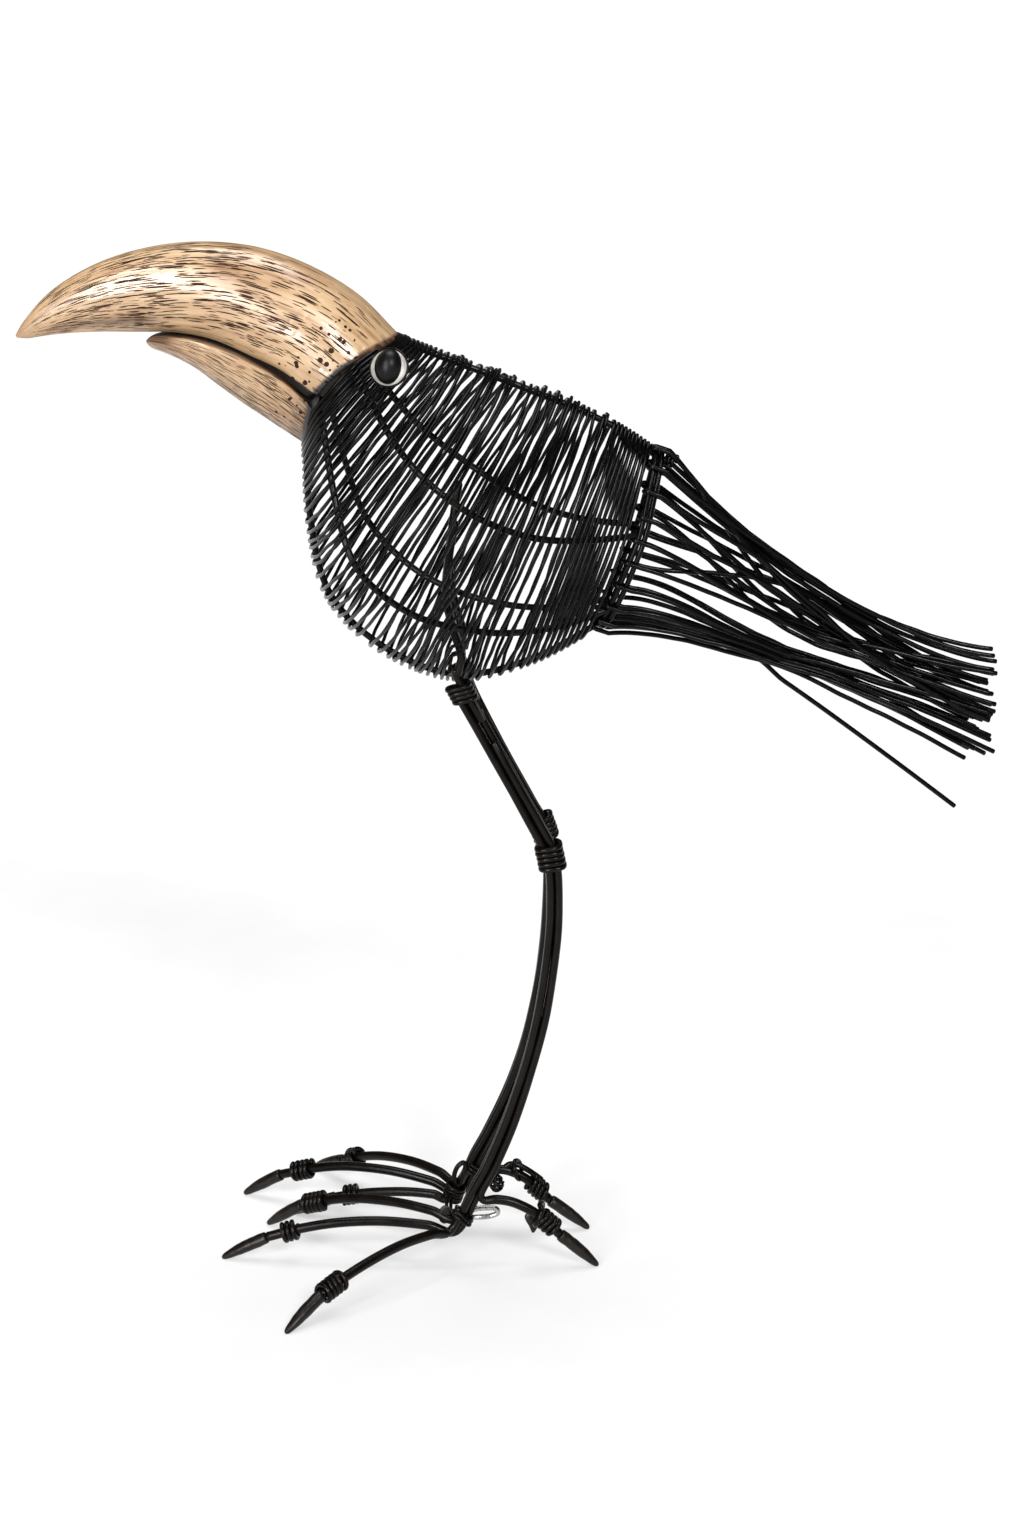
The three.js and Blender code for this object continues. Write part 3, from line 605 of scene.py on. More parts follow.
# Strokes of one kind: each cell of a stretched pattern holds one cut, if chance lets it, of its own length
def strokes(tree, grain, kind, crowding):
    length, width, fill, offset, chance = kind
    spread = addNode(tree, "Mapping", inputs={
        "Vector": grain, "Location": (offset, offset * 0.37, 0.0),
        "Scale": (mapUnit / length, girth / width, 1.0)})
    sway = addNode(tree, "TexNoise", inputs={"Vector": spread, "Scale": 0.35, "Detail": 2.0})
    shifted = addNode(tree, "MixRGB", {"blend_type": "LINEAR_LIGHT"}, {
        "Fac": 0.35, "Color1": spread, "Color2": sway.outputs["Color"]})
    cells = addNode(tree, "TexVoronoi", {"feature": "F1"}, {"Vector": shifted, "Scale": 1.0})
    luck = addNode(tree, "SeparateColor", inputs={"Color": cells.outputs["Color"]}).outputs
    size = addNode(tree, "MapRange", inputs={"Value": luck["Green"], "To Min": fill * 0.45, "To Max": fill})
    depth = addNode(tree, "Math", {"operation": "SUBTRACT"}, {0: size, 1: cells.outputs["Distance"]})
    shape = addNode(tree, "MapRange", {"clamp": True}, {"Value": depth, "From Min": 0.0, "From Max": 0.05})
    room = addNode(tree, "Math", {"operation": "MULTIPLY"}, {0: crowding, 1: chance})
    here = addNode(tree, "Math", {"operation": "LESS_THAN"}, {0: luck["Red"], 1: room})
    return addNode(tree, "Math", {"operation": "MULTIPLY"}, {0: shape, 1: here})


def carvedHorn():
    material, tree, shader = newMaterial("carved_stained_horn")
    grain = addNode(tree, "UVMap", {"uv_map": "grain"})
    place = addNode(tree, "TexCoord").outputs["Object"]
    workedAndShaded = addNode(tree, "Attribute", {"attribute_name": "workedAndShaded"})
    parts = addNode(tree, "SeparateColor", inputs={"Color": workedAndShaded}).outputs
    clouds = addNode(tree, "TexNoise", inputs={"Vector": place, "Scale": 45.0, "Detail": 4.0})
    streaky = addNode(tree, "Mapping", inputs={"Vector": grain, "Scale": (mapUnit / 40, girth / 2.6, 1.0)})
    veins = addNode(tree, "TexNoise", inputs={"Vector": streaky, "Scale": 1.0, "Detail": 4.0})
    ground = addNode(tree, "Math", {"operation": "MULTIPLY_ADD"}, {0: clouds, 1: 0.5, 2: veins})
    base = colourRamp(tree, ground, [
        (0.52, beakLook["brown"]), (0.68, beakLook["tan"]), (0.88, beakLook["pale"])])
    # Stain, and the painted shade along the mouth slit and under the lower beak, soak in unevenly along the
    # grain
    soak = addNode(tree, "Math", {"operation": "MULTIPLY_ADD"}, {0: veins, 1: 1.3, 2: parts["Red"]})
    soaked = addNode(tree, "MapRange", {"clamp": True}, {"Value": soak, "From Min": 0.78, "From Max": 1.6})
    stainedAndShaded = addNode(tree, "MixRGB", inputs={
        "Fac": soaked, "Color1": base, "Color2": linear(beakLook["stainAndShade"])})
    # Cuts lie where the carver crowded them, with bare places between
    crowd = addNode(tree, "Mapping", inputs={"Vector": grain, "Scale": (mapUnit / 26, girth / 7, 1.0)})
    bare = addNode(tree, "TexNoise", inputs={"Vector": crowd, "Scale": 1.0, "Detail": 2.0})
    gather = addNode(tree, "MapRange", {"clamp": True}, {
        "Value": bare, "From Min": 0.34, "From Max": 0.56, "To Min": 0.5, "To Max": 1.1})
    crowding = addNode(tree, "Math", {"operation": "MULTIPLY"}, {0: parts["Green"], 1: gather})
    # Round pits lie by the collar
    spots = addNode(tree, "TexVoronoi", {"feature": "F1"}, {"Vector": place, "Scale": 360.0})
    luck = addNode(tree, "SeparateColor", inputs={"Color": spots.outputs["Color"]}).outputs
    spotSize = addNode(tree, "Math", {"operation": "MULTIPLY"}, {0: luck["Green"], 1: parts["Blue"]})
    spotDepth = addNode(tree, "Math", {"operation": "MULTIPLY_ADD"}, {0: spotSize, 1: 0.62, 2: -0.13})
    marks = addNode(tree, "Math", {"operation": "LESS_THAN"}, {0: spots.outputs["Distance"], 1: spotDepth})
    for kind in beakLook["strokes"]:
        layer = strokes(tree, grain, kind, crowding)
        marks = addNode(tree, "Math", {"operation": "MAXIMUM"}, {0: layer, 1: marks})
    cutTone = addNode(tree, "MixRGB", inputs={
        "Fac": marks, "Color1": stainedAndShaded, "Color2": linear(beakLook["cut"])})
    # Painted shade: where the tint is full, inside the mouth slit, along its edges and on the root, the colour
    # turns near black
    inside = addNode(tree, "MapRange", {"clamp": True}, {
        "Value": parts["Red"], "From Min": 0.93, "From Max": 1.0})
    # The polish is worn in clouds and dull in the cuts
    polish = addNode(tree, "MapRange", inputs={
        "Value": marks, "To Min": beakLook["roughness"][0], "To Max": beakLook["cutRoughness"]})
    wear = beakLook["roughness"][1] - beakLook["roughness"][0]
    depth = addNode(tree, "Math", {"operation": "MULTIPLY_ADD"}, {0: marks, 1: -1.0, 2: veins})
    feed(tree, shader, {
        "Base Color": addNode(tree, "MixRGB", inputs={
            "Fac": inside, "Color1": cutTone, "Color2": linear(beakLook["slitShade"])}),
        "Roughness": addNode(tree, "Math", {"operation": "MULTIPLY_ADD"}, {0: clouds, 1: wear, 2: polish}),
        "Normal": addNode(tree, "Bump", inputs={"Height": depth, "Strength": 0.45, "Distance": 0.0004}),
        "Specular IOR Level": addNode(tree, "MapRange", inputs={
            "Value": marks, "To Min": 0.8, "To Max": 0.12}),
        "IOR": 1.54})
    return material


horn = carvedHorn()
for name, upper, stations, around in (("upper_beak", True, 260, 64), ("lower_beak", False, 130, 36)):
    mesh = skin(name + "_carved", [beakRings(upper, stations, around)])
    place(name + "_carved", mesh, horn, "horn_beak", name)
print("beak carved")

# Eyes: a domed white disc in a thin dark rim, and an oval black bead on it; the right one sits lower
eyeShape = {"left": {"centre": (-48.5, -30.8, 391.9), "facing": (-0.42, -0.86, 0.28)},
            "right": {"centre": (-51.3, 36.1, 387.5), "facing": (-0.42, 0.86, 0.28)},
            "discRadius": 7.4, "discOval": (1.1, 1.0), "dome": 1.5, "thickness": 1.4,
            "beadRadius": (5.7, 7.0), "beadHeight": 5.4, "beadShift": (0.3, 0.3),
            "rimRadius": 0.5, "rimOut": 0.15}


# Glazed bead white and jet black: hard glossy glass, with faint clouds in the glaze
def glazed(name, dark, light, roughness, gloss):
    material, tree, shader = newMaterial(name)
    place = addNode(tree, "TexCoord").outputs["Object"]
    clouds = addNode(tree, "TexNoise", inputs={"Vector": place, "Scale": 260.0, "Detail": 3.0})
    feed(tree, shader, {
        "Base Color": colourRamp(tree, clouds, [(0.35, dark), (0.65, light)]),
        "Roughness": addNode(tree, "MapRange", inputs={
            "Value": clouds, "To Min": roughness[0], "To Max": roughness[1]}),
        "IOR": 1.5, "Specular IOR Level": gloss})
    return material


whiteGlaze = glazed("white_glazed_bead", "#7f7d77", "#a19f98", (0.25, 0.4), 0.4)
jetGlass = glazed("jet_glass_bead", "#020203", "#060607", (0.34, 0.44), 0.2)


def ovalAbout(centre, axis, radius, oval, sides):
    first = upward.cross(axis).normalized()
    second = axis.cross(first)
    return [centre + (first * (math.cos(a) * oval[0]) + second * (math.sin(a) * oval[1])) * radius
            for a in (2 * math.pi * side / sides for side in range(sides))]


# Turn an outline of [radius, height] about an axis that starts at a centre. The turned form may be oval.
def turned(outline, centre, axis, oval, sides=48):
    rings = [ovalAbout(centre + axis * height, axis, radius, oval, sides) for radius, height in outline]
    points = np.array(rings, float)
    travelled = np.concatenate([[0], np.cumsum(np.linalg.norm(np.diff(points[:, 0], axis=0), axis=1))])
    return {"rings": points, "closed": False, "travelled": travelled}


# Points [radius, height] up a quarter of an oval
def quarterOval(radius, height, first, last, steps):
    return [(radius * math.cos(a), height * math.sin(a))
            for a in (math.pi / 2 * step / steps for step in range(first, last))]


def buildEye(sideName, side):
    centre = Vector(eyeShape[sideName]["centre"])
    axis = Vector(eyeShape[sideName]["facing"]).normalized()
    radius, half, oval = eyeShape["discRadius"], eyeShape["thickness"] / 2, eyeShape["discOval"]
    disc = [(0.1, -half), (radius - 0.5, -half), (radius - 0.1, -half * 0.6), (radius, 0)]
    disc += quarterOval(radius, eyeShape["dome"], 1, 14, 14) + [(0.1, eyeShape["dome"])]
    place(f"{sideName}_eye_white", skin("eye_white", [turned(disc, centre, axis, oval)]),
          whiteGlaze, "eye_white", f"{sideName}_eye_disc")
    bead = [(0.02, 0)] + quarterOval(1, eyeShape["beadHeight"], 0, 22, 22) + [(0.01, eyeShape["beadHeight"])]
    across = upward.cross(axis).normalized() * -side
    shift = eyeShape["beadShift"]
    beadCentre = centre + axis * (half + 0.1) + across * shift[0] + axis.cross(across) * (shift[1] * -side)
    place(f"{sideName}_eye_jet", skin("eye_jet", [turned(bead, beadCentre, axis, eyeShape["beadRadius"])]),
          jetGlass, "eye_black", f"{sideName}_eye_bead")
    rim = ovalAbout(centre, axis, radius + eyeShape["rimOut"], oval, 60)
    placeWires(f"{sideName}_eye_rim", [rim], eyeShape["rimRadius"], 8, legWire, closed=True, facing=tuple(axis))


buildEye("left", -1)
buildEye("right", 1)
print("eyes set")

# Legs: four wires in a square bundle from hip to ankle as [x, z], then one wire to each toe
legShape = {
    "left": [(-22.0, 259.0), (13.0, 194.0), (15.7, 187.4), (17.4, 178.6), (17.8, 164.5), (17.1, 148.5),
             (14.9, 129.5), (11.5, 110.5), (6.3, 89.5), (-0.7, 67.5), (-8.8, 47.4), (-15.1, 35.2)],
    "right": [(-22.0, 259.0), (-15.9, 242.0), (6.4, 199.2), (12.6, 189.0), (16.4, 178.0), (16.9, 165.5),
              (16.5, 151.0), (15.0, 132.5), (12.1, 111.5), (7.1, 89.5), (-0.2, 67.0), (-9.8, 45.8),
              (-15.4, 35.2)],
    "heels": {"left": [(-12.6, 36.4), (-13.5, 33.2), (-11.7, 31.2)],
              "right": [(-14.1, 33.3), (-15.1, 29.9), (-13.4, 27.8)]},
    "out": 19.0, "radius": 1.68, "toeRadius": 2.12, "offset": 1.75, "hipX": -22.0, "hipTop": 265.0,
    "ankle": (-24.4, 17.4),
    "inner": [(-20.6, 19.0, 273), (-23.8, 23.0, 284), (-26.6, 31, 300), (-25.0, 38.5, 317), (-22.6, 43.6, 332)],
    "innerSpread": 2.2, "endHeight": 242.4,
}
# Toes: the claw's tip as [x, y], the heights of the claw's base, of the arch and of the bend at the ankle,
# the wire's place in the bundle, and the collar's turns, distance behind the claw and lean
toeKeys = ("name", "tip", "base", "arch", "bend", "front", "out", "turns", "behind", "lean")
toes = {
    "left": [("outer", (-93.6, -85.0), 11.0, 4.5, 17.2, 1, 1, 5, 5.6, 0.25),
             ("middle", (-126.4, -12.8), 10.4, 6.0, 15.2, -1, -1, 3, 11.5, 0.1),
             ("inner", (-109.4, 22.6), 13.0, 5.5, 20.8, 1, -1, 5, 6.2, 0.2),
             ("back", (37.4, -20.6), 15.0, 5.5, None, -1, 1, 4, 8.0, -0.2)],
    "right": [("outer", (-92.6, 85.4), 10.0, 6.0, 21.4, 1, 1, 3, 8.0, -0.1),
              ("middle", (-122.6, 55.4), 12.4, 7.5, 16.4, -1, 1, 4, 11.0, 0.12),
              ("inner", (-98.6, 34.4), 10.0, 2.5, 15.8, 1, -1, 3, 7.0, 0.1),
              ("back", (34.4, 17.6), 14.0, 6.0, None, -1, -1, 4, 8.5, 0.25)],
}
# The claw's stops are [share of its length, radius]
clawShape = {"length": 22.0, "tipHeight": 0.4, "gap": 0.85, "bow": 0.35, "dent": 0.2, "flat": 0.95,
             "stops": [(-0.012, 2.1), (-0.004, 2.6), (0.008, 2.78), (0.05, 2.86), (0.3, 2.86), (0.5, 2.76),
                       (0.64, 2.5), (0.77, 2.12), (0.88, 1.7), (0.945, 1.36), (0.975, 1.0), (0.992, 0.55),
                       (1.0, 0.12)]}


def bundlePoint(line, index, side, front, out):
    down = (line[min(len(line) - 1, index + 1)] - line[max(0, index - 1)]).normalized()
    offset = legShape["offset"]
    here = line[index]
    return Vector((here.x + front * offset * down.z, side * (legShape["out"] + out * offset),
                   here.z - front * offset * down.x))


def clawPlace(toe, start):
    tip = Vector((*toe["tip"], clawShape["tipHeight"]))
    flat = Vector((tip.x - start.x, tip.y - start.y, 0)).normalized()
    drop = toe["base"] - tip.z
    base = tip - flat * math.sqrt(clawShape["length"] ** 2 - drop**2)
    base.z = toe["base"]
    return base, tip


def toeWirePath(sideName, side, toe):
    line = centreLine(legShape[sideName])
    y = side * (legShape["out"] + toe["out"] * legShape["offset"])
    if toe["name"] == "back":
        bend = [Vector((x, y, z)) for x, z in legShape["heels"][sideName]]
        line = line[:-1]
    else:
        reach = (line[-1].z - toe["bend"]) / (line[-1].z - legShape["ankle"][1])
        x = mix(line[-1].x, legShape["ankle"][0], reach) - toe["front"] * legShape["offset"]
        bend = [Vector((x, y, toe["bend"]))]
    base, tip = clawPlace(toe, bend[-1])
    end = base - (tip - base).normalized() * clawShape["gap"]
    toePoints = [mix(bend[-1], end, share) + upward * (4 * toe["arch"] * share * (1 - share))
                 for share in (0.16, 0.38, 0.62, 0.82, 1.0)]
    legPoints = [bundlePoint(line, index, side, toe["front"], toe["out"]) for index in range(len(line))]
    inner = []
    if toe["front"] < 0:
        inner = [Vector((legShape["hipX"], y, legShape["hipTop"]))]
        inner += [Vector((x, side * (out + toe["out"] * legShape["innerSpread"]), z))
                  for x, out, z in legShape["inner"]]
        inner.reverse()
    return inner + legPoints + bend + toePoints, base, tip


# The wire is hammered a little thicker from the ankle on
def toeRadii(points, path):
    radii = []
    for step in range(len(path)):
        number = step / (len(path) - 1) * (len(points) - 1)
        thick = ease(number, len(points) - 6.6, len(points) - 4.9)
        radii.append(mix(legShape["radius"], legShape["toeRadius"], thick))
    return radii


# A coil that is pulled tight by hand round something with a round or square section. Its size wanders, its
# turns drift, and its ends are tucked in.
coil = {"wander": 0.16, "drift": 0.32, "tuck": 0.35, "perTurn": 26}


def coilPath(centre, axis, across, reach, turns, pitch, seed, lean=0.0, squareness=2.0):
    axis = axis.normalized()
    across = (across - axis * across.dot(axis)).normalized()
    up = axis.cross(across)
    start = random.Random(seed).uniform(0, 2 * math.pi)
    path = []
    for step in range(round(turns * coil["perTurn"]) + 1):
        share = step / coil["perTurn"]
        angle = start + 2 * math.pi * share
        c, s = math.cos(angle), math.sin(angle)
        size = reach / (abs(c) ** squareness + abs(s) ** squareness) ** (1 / squareness)
        size += coil["wander"] * noise.noise(Vector((share * 2.1, seed, 0.5)))
        height = pitch * (share - turns / 2) + coil["drift"] * noise.noise(Vector((share * 1.3, seed, 7.5)))
        height += lean * reach * s
        path.append(centre + axis * height + across * (c * size) + up * (s * size))
    for end in (0, -1):
        path[end] = mix(path[end], centre + axis * (path[end] - centre).dot(axis), coil["tuck"])
    return path


collarShape = {"wireRadius": 1.06, "reach": 3.7, "pitch": 2.26}


def buildToe(sideName, side, toe, number):
    points, base, tip = toeWirePath(sideName, side, toe)
    path = smoothPath(points, 2.0)
    bent = handBent(path, 0.3, 26, number + 30)
    radii = toeRadii(points, path)
    parts = [wireRings(bent, radii, 16)]
    if toe["name"] == "back":  # this wire is pieced together on the thigh, end to end
        cut = next(i for i, point in enumerate(bent) if point.z < legShape["endHeight"])
        parts = [wireRings(bent[:cut], radii[:cut], 16), wireRings(bent[cut:], radii[cut:], 16)]
    node = f"{sideName}_leg_{toe['name']}_toe_wire"
    place(node + "_bent", skin(node, parts), legWire, "steel_wire", node)

    travelled = 0.0
    for index in range(len(path) - 1, 0, -1):
        travelled += (path[index] - path[index - 1]).length
        if travelled > toe["behind"]:
            break
    axis = (path[index + 1] - path[index - 1]).normalized()
    collar = coilPath(path[index], axis, axis.cross(upward), collarShape["reach"], toe["turns"],
                      collarShape["pitch"], number + 1, toe["lean"])
    node = f"{sideName}_{toe['name']}_toe_collar"
    placeWires(node + "_wound", [collar], collarShape["wireRadius"], 12, legWire, node)

    buildClaw(f"{sideName}_{toe['name']}_claw", base, tip, number)


# A claw is a hammered sleeve: a clear step where it grips the wire, a straight body and a worn, blunt point
def buildClaw(node, base, tip, number):
    stops = clawShape["stops"]
    shares = sorted({stop for stop, _ in stops} | {step / 40 for step in range(41)})
    radii = [float(np.interp(share, *zip(*stops))) for share in shares]
    axis = (tip - base).normalized()
    path = [mix(base, tip, share) + upward * (clawShape["bow"] * math.sin(math.pi * max(0.0, share)))
            for share in shares]
    side = axis.cross(upward).normalized()
    part = wireRings(path, radii, 24, facing=tuple(side.cross(axis)), flat=clawShape["flat"], nipped=False)
    rings = part["rings"]
    for ring, share in zip(rings, shares):
        for corner in ring:
            dent = noise.noise(Vector(corner) / 3.0 + Vector((number * 3.7, 0, 0)))
            dent *= clawShape["dent"] * (1 - share * 0.6)
            corner += np.array((Vector(corner) - mix(base, tip, share)).normalized()) * dent
    rings[:, :, 2] = np.maximum(rings[:, :, 2], 0.03)
    place(node + "_hammered", skin(node, [part], 35), clawSteel, "steel_wire", node)


number = 0
for sideName, side in (("left", -1), ("right", 1)):
    for row in toes[sideName]:
        buildToe(sideName, side, dict(zip(toeKeys, row)), number)
        number += 1
print("legs, toes, collars and claws:", number)

# Wraps on the legs: centre as [x, z], direction of the leg there, turns, pitch and lean of the coil, the
# wire's radius and the coil's
legWraps = {
    "left": {"hip_wrap": ((-20.6, 256.4), (0.474, -0.881), 4, 2.0, 0.34, 1.0, 4.5),
             "knee_wrap": ((16.0, 186.2), (0.2, -0.98), 5, 2.2, 0.14, 1.12, 4.9),
             "ankle_tie": ((-21.2, 23.2), (-0.463, -0.886), 2, 1.7, 0.3, 0.75, 4.3)},
    "right": {"hip_wrap": ((-20.9, 256.2), (0.338, -0.941), 3, 2.0, 0.2, 1.0, 4.5),
              "knee_wrap": ((13.6, 186.4), (0.33, -0.944), 5, 2.15, -0.2, 1.12, 4.8),
              "ankle_tie": ((-15.9, 28.6), (-0.463, -0.886), 3, 1.75, 0.15, 0.8, 4.5)},
}


def buildLegWraps(sideName, side):
    for number, (name, wrap) in enumerate(legWraps[sideName].items()):
        (x, z), (ahead, down), turns, pitch, lean, wireRadius, reach = wrap
        path = coilPath(Vector((x, side * legShape["out"], z)), Vector((ahead, 0, down)), sideways, reach,
                        turns, pitch, number * 3 + side + 50, lean, squareness=3.2)
        node = f"{sideName}_{name}"
        placeWires(node + "_wound", [path], wireRadius, 12, legWire, node)


buildLegWraps("left", -1)
buildLegWraps("right", 1)

# Small bindings at the ankles and on the back toes, as points [x, y, z] of the wire that each is bent from
bindings = {
    "right_ankle_loop": {"radius": 1.1, "closed": True, "points": [
        (-24.8, 15.2, 22.6), (-25.6, 15.0, 26.6), (-24.2, 15.0, 31.0), (-21.6, 15.2, 33.2), (-20.6, 15.4, 31.2),
        (-21.6, 15.2, 26.8), (-23.0, 15.2, 22.4)]},
    "ankle_to_ankle_wire_1": {"radius": 0.8, "points": [
        (-26.4, 14.6, 20.4), (-28.4, 9.0, 19.4), (-28.6, 1.0, 18.6), (-27.4, -8.0, 19.0), (-25.4, -14.4, 20.2),
        (-23.0, -15.8, 22.4)]},
    "ankle_to_ankle_wire_2": {"radius": 0.8, "points": [
        (-25.0, 14.6, 18.2), (-26.8, 8.0, 17.4), (-26.6, -1.0, 17.0), (-25.6, -9.0, 18.0), (-23.6, -14.6, 18.8),
        (-21.6, -15.6, 20.4)]},
    "bare_wire_loop": {"radius": 1.15, "closed": True, "bright": True, "points": [
        (-20.2, -14.6, 20.8), (-16.0, -12.8, 19.6), (-10.0, -12.2, 19.8), (-6.4, -12.4, 21.4),
        (-7.0, -12.6, 23.6), (-11.0, -12.8, 24.0), (-16.6, -13.2, 23.4)]},
    "right_toe_bracket": {"radius": 1.3, "points": [
        (-3.2, 17.4, 30.0), (-1.0, 17.4, 31.4), (2.6, 17.3, 31.2), (6.4, 17.2, 29.2), (10.0, 17.2, 26.6),
        (13.0, 17.2, 24.2)]},
    "right_toe_turn": {"radius": 1.05, "closed": True, "points": [
        (1.2, 17.2, 32.9), (3.0, 20.4, 31.4), (4.2, 20.8, 27.6), (3.6, 17.4, 24.4), (2.2, 13.9, 26.6),
        (1.2, 13.8, 30.6)]},
    "left_toe_turn": {"radius": 1.25, "closed": True, "points": [
        (12.0, -19.6, 28.6), (13.2, -16.2, 27.6), (12.4, -15.4, 23.8), (10.6, -16.2, 20.8), (9.8, -20.0, 20.0),
        (10.4, -24.0, 21.6), (12.2, -24.6, 25.2), (12.8, -23.0, 27.8)]},
}


# A knot of thin wire: a small ball of crossing turns
def knotPath(centre, reach, seed, steps=150):
    chance = random.Random(seed)
    path = []
    for step in range(steps):
        turn = step / steps * 2 * math.pi
        tilt = 1.1 * math.sin(3.1 * turn + seed)
        spot = Vector((math.cos(7 * turn) * math.cos(tilt), math.sin(7 * turn) * math.cos(tilt * 0.5),
                       math.sin(tilt)))
        path.append(centre + spot * (reach * (0.82 + 0.1 * chance.random())))
    return path


# Bare mild steel wire, drawn and left bright: pale grey with a strong shine
bareWireLook = {"dark": "#8d8d8b", "light": "#c8c8c4", "roughness": (0.22, 0.34), "metallic": 1.0,
                "specular": 0.5, "patch": 3.0, "dieLine": 8.0, "grit": 0.5, "bump": 0.15}


def buildBindings():
    bareWire = annealedWire("bare_bright_wire", bareWireLook)
    for seed, (name, binding) in enumerate(bindings.items()):
        closed = binding.get("closed", False)
        points = [Vector(point) for point in binding["points"]]
        path = handBent(smoothPath(points, 0.8, closed), 0.15, 6, seed + 90)
        placeWires(name, [path], binding["radius"], 12, bareWire if binding.get("bright") else legWire,
                   closed=closed)
    ankle = Vector((-25.6, 15.6, 19.2))
    path = coilPath(ankle, Vector((-0.3, 0.15, -0.94)), sideways, 3.9, 5, 1.55, 77, 0.1)
    placeWires("right_ankle_wrap", [path], 0.8, 10, legWire)
    path = knotPath(Vector((-6.8, 16.4, 22.8)), 3.5, 3)
    placeWires("right_toe_knot", [path], 0.62, 8, thinWire)


# Small hammered tabs, as an outline of [x, z] given some thickness
tabs = {
    "left_ankle_tab": {"y": -15.2, "thickness": 1.7, "outline": [
        (-31.9, 21.4), (-31.2, 24.6), (-29.0, 26.4), (-26.8, 25.0), (-26.0, 21.8), (-27.2, 18.8), (-29.4, 17.8),
        (-31.2, 19.0)]},
    "left_toe_tab": {"y": -19.2, "thickness": 2.0, "outline": [
        (5.6, 23.6), (8.4, 25.2), (12.4, 23.0), (11.9, 19.8), (9.9, 15.9), (8.6, 15.6), (7.4, 18.4),
        (5.8, 21.4)]},
}


def buildTabs():
    for name, tab in tabs.items():
        outline = [Vector((x, tab["y"], z)) for x, z in tab["outline"]]
        outline = [onLine(outline, step / 40, True) for step in range(40)]
        centre = sum(outline, Vector()) / len(outline)
        rings, half = [], tab["thickness"] / 2
        for out, size in ((-1.0, 0.08), (-1.0, 0.6), (-0.86, 0.86), (-0.4, 0.99), (0.4, 0.99), (0.86, 0.86),
                          (1.0, 0.6), (1.0, 0.08)):
            rings.append([centre + (point - centre) * size + sideways * (half * out) for point in outline])
        part = {"rings": np.array(rings, float), "closed": False, "travelled": np.arange(len(rings)) * 1.0}
        place(name, skin(name, [part], 40), clawSteel, "steel_wire")


buildBindings()
buildTabs()
print("bindings at the ankles placed")

# Tail: strands hook round the tail rings in pairs and run back between two edge curves. The tips are the
# strands' ends as [x, z], from the top of the tail down.
tail = {
    "hooks": [0.1, 0.36, 0.6, 0.84, 1.1, 1.36, 1.64, 1.95, 2.3, 2.66],
    "wireRadius": 1.0, "hookRadius": 2.25, "ringSpacing": 2.5, "lead": 3.0,
    "swayAcross": 1.3, "swayUp": 1.5, "kink": 0.5,
    "top": {"tipX": 202.0, "tipHeight": 270.0, "drop": 82.0, "length": 139.0, "bend": 1.6},
    "bottom": {"startX": 37.0, "startHeight": 281.0, "drop": 57.0, "length": 163.0, "bend": 1.5},
    "layers": (7.2, 5.0, 3.0, 1.0), "looseTip": (186.3, 202.6), "looseFrom": 0.37,
    "lowBundle": 0.5, "highBundle": 0.84,
    "tips": [(201.4, 269.8), (199.6, 267.0), (201.6, 264.8), (200.2, 262.0), (201.6, 259.4), (198.4, 257.0),
             (201.4, 255.6), (200.6, 251.8), (169.3, 256.1), (200.2, 250.4), (201.6, 247.2), (196.8, 244.6),
             (201.4, 243.0), (200.6, 241.4), (198.9, 239.9), (193.6, 240.2), (201.2, 238.8), (197.3, 236.2),
             (200.6, 232.8), (200.3, 230.4), (194.7, 227.9), (188.1, 228.8), (201.2, 226.4), (200.4, 225.0),
             (189.5, 223.9)],
}


def tailHeight(x, level):
    top, bottom = tail["top"], tail["bottom"]
    high = top["tipHeight"] + top["drop"] * (max(0.0, top["tipX"] - x) / top["length"]) ** top["bend"]
    back = max(0.0, x - bottom["startX"]) / bottom["length"]
    low = bottom["startHeight"] - bottom["drop"] * back ** bottom["bend"]
    return mix(low, high, level)


def strandPath(start, side, layer, levels, tip, seed, loose=False):
    levelAtRing, levelAtWaist = levels
    offset = start.z - tailHeight(start.x, levelAtRing)
    lowAtTip, highAtTip = tailHeight(tip[0], 0.0), tailHeight(tip[0], 1.0)
    levelAtTip = 0.0 if loose else (tip[1] - side * layer * 0.28 - lowAtTip) / (highAtTip - lowAtTip)
    path = []
    for step in range(1, 61):
        share = step / 60
        x = mix(start.x, tip[0], share)
        level = mix(mix(levelAtRing, levelAtWaist, ease(share, 0.0, 0.5)), levelAtTip, ease(share, 0.36, 1.0))
        y = mix(start.y, side * layer, ease(share, 0, 0.55))
        z = tailHeight(x, level) + offset * (1 - share) ** 3
        sway = math.sin(math.pi * min(1.0, share * 1.02))
        y += tail["swayAcross"] * sway * noise.noise(Vector((share * 3.4, seed, 3.0)))
        z += (tail["swayUp"] * noise.noise(Vector((share * 5.0, seed, 1.0)))
              + tail["kink"] * noise.noise(Vector((share * 15.0, seed, 6.0)))) * sway
        if loose and share > tail["looseFrom"]:
            drift = (share - tail["looseFrom"]) / (1 - tail["looseFrom"])
            parting = tailHeight(mix(start.x, tip[0], tail["looseFrom"]), 0.0)
            line = mix(parting, tail["looseTip"][1], drift**1.06)
            z = mix(z, line, ease(drift, 0, 0.2))
        path.append(Vector((x, y, z)))
    return path


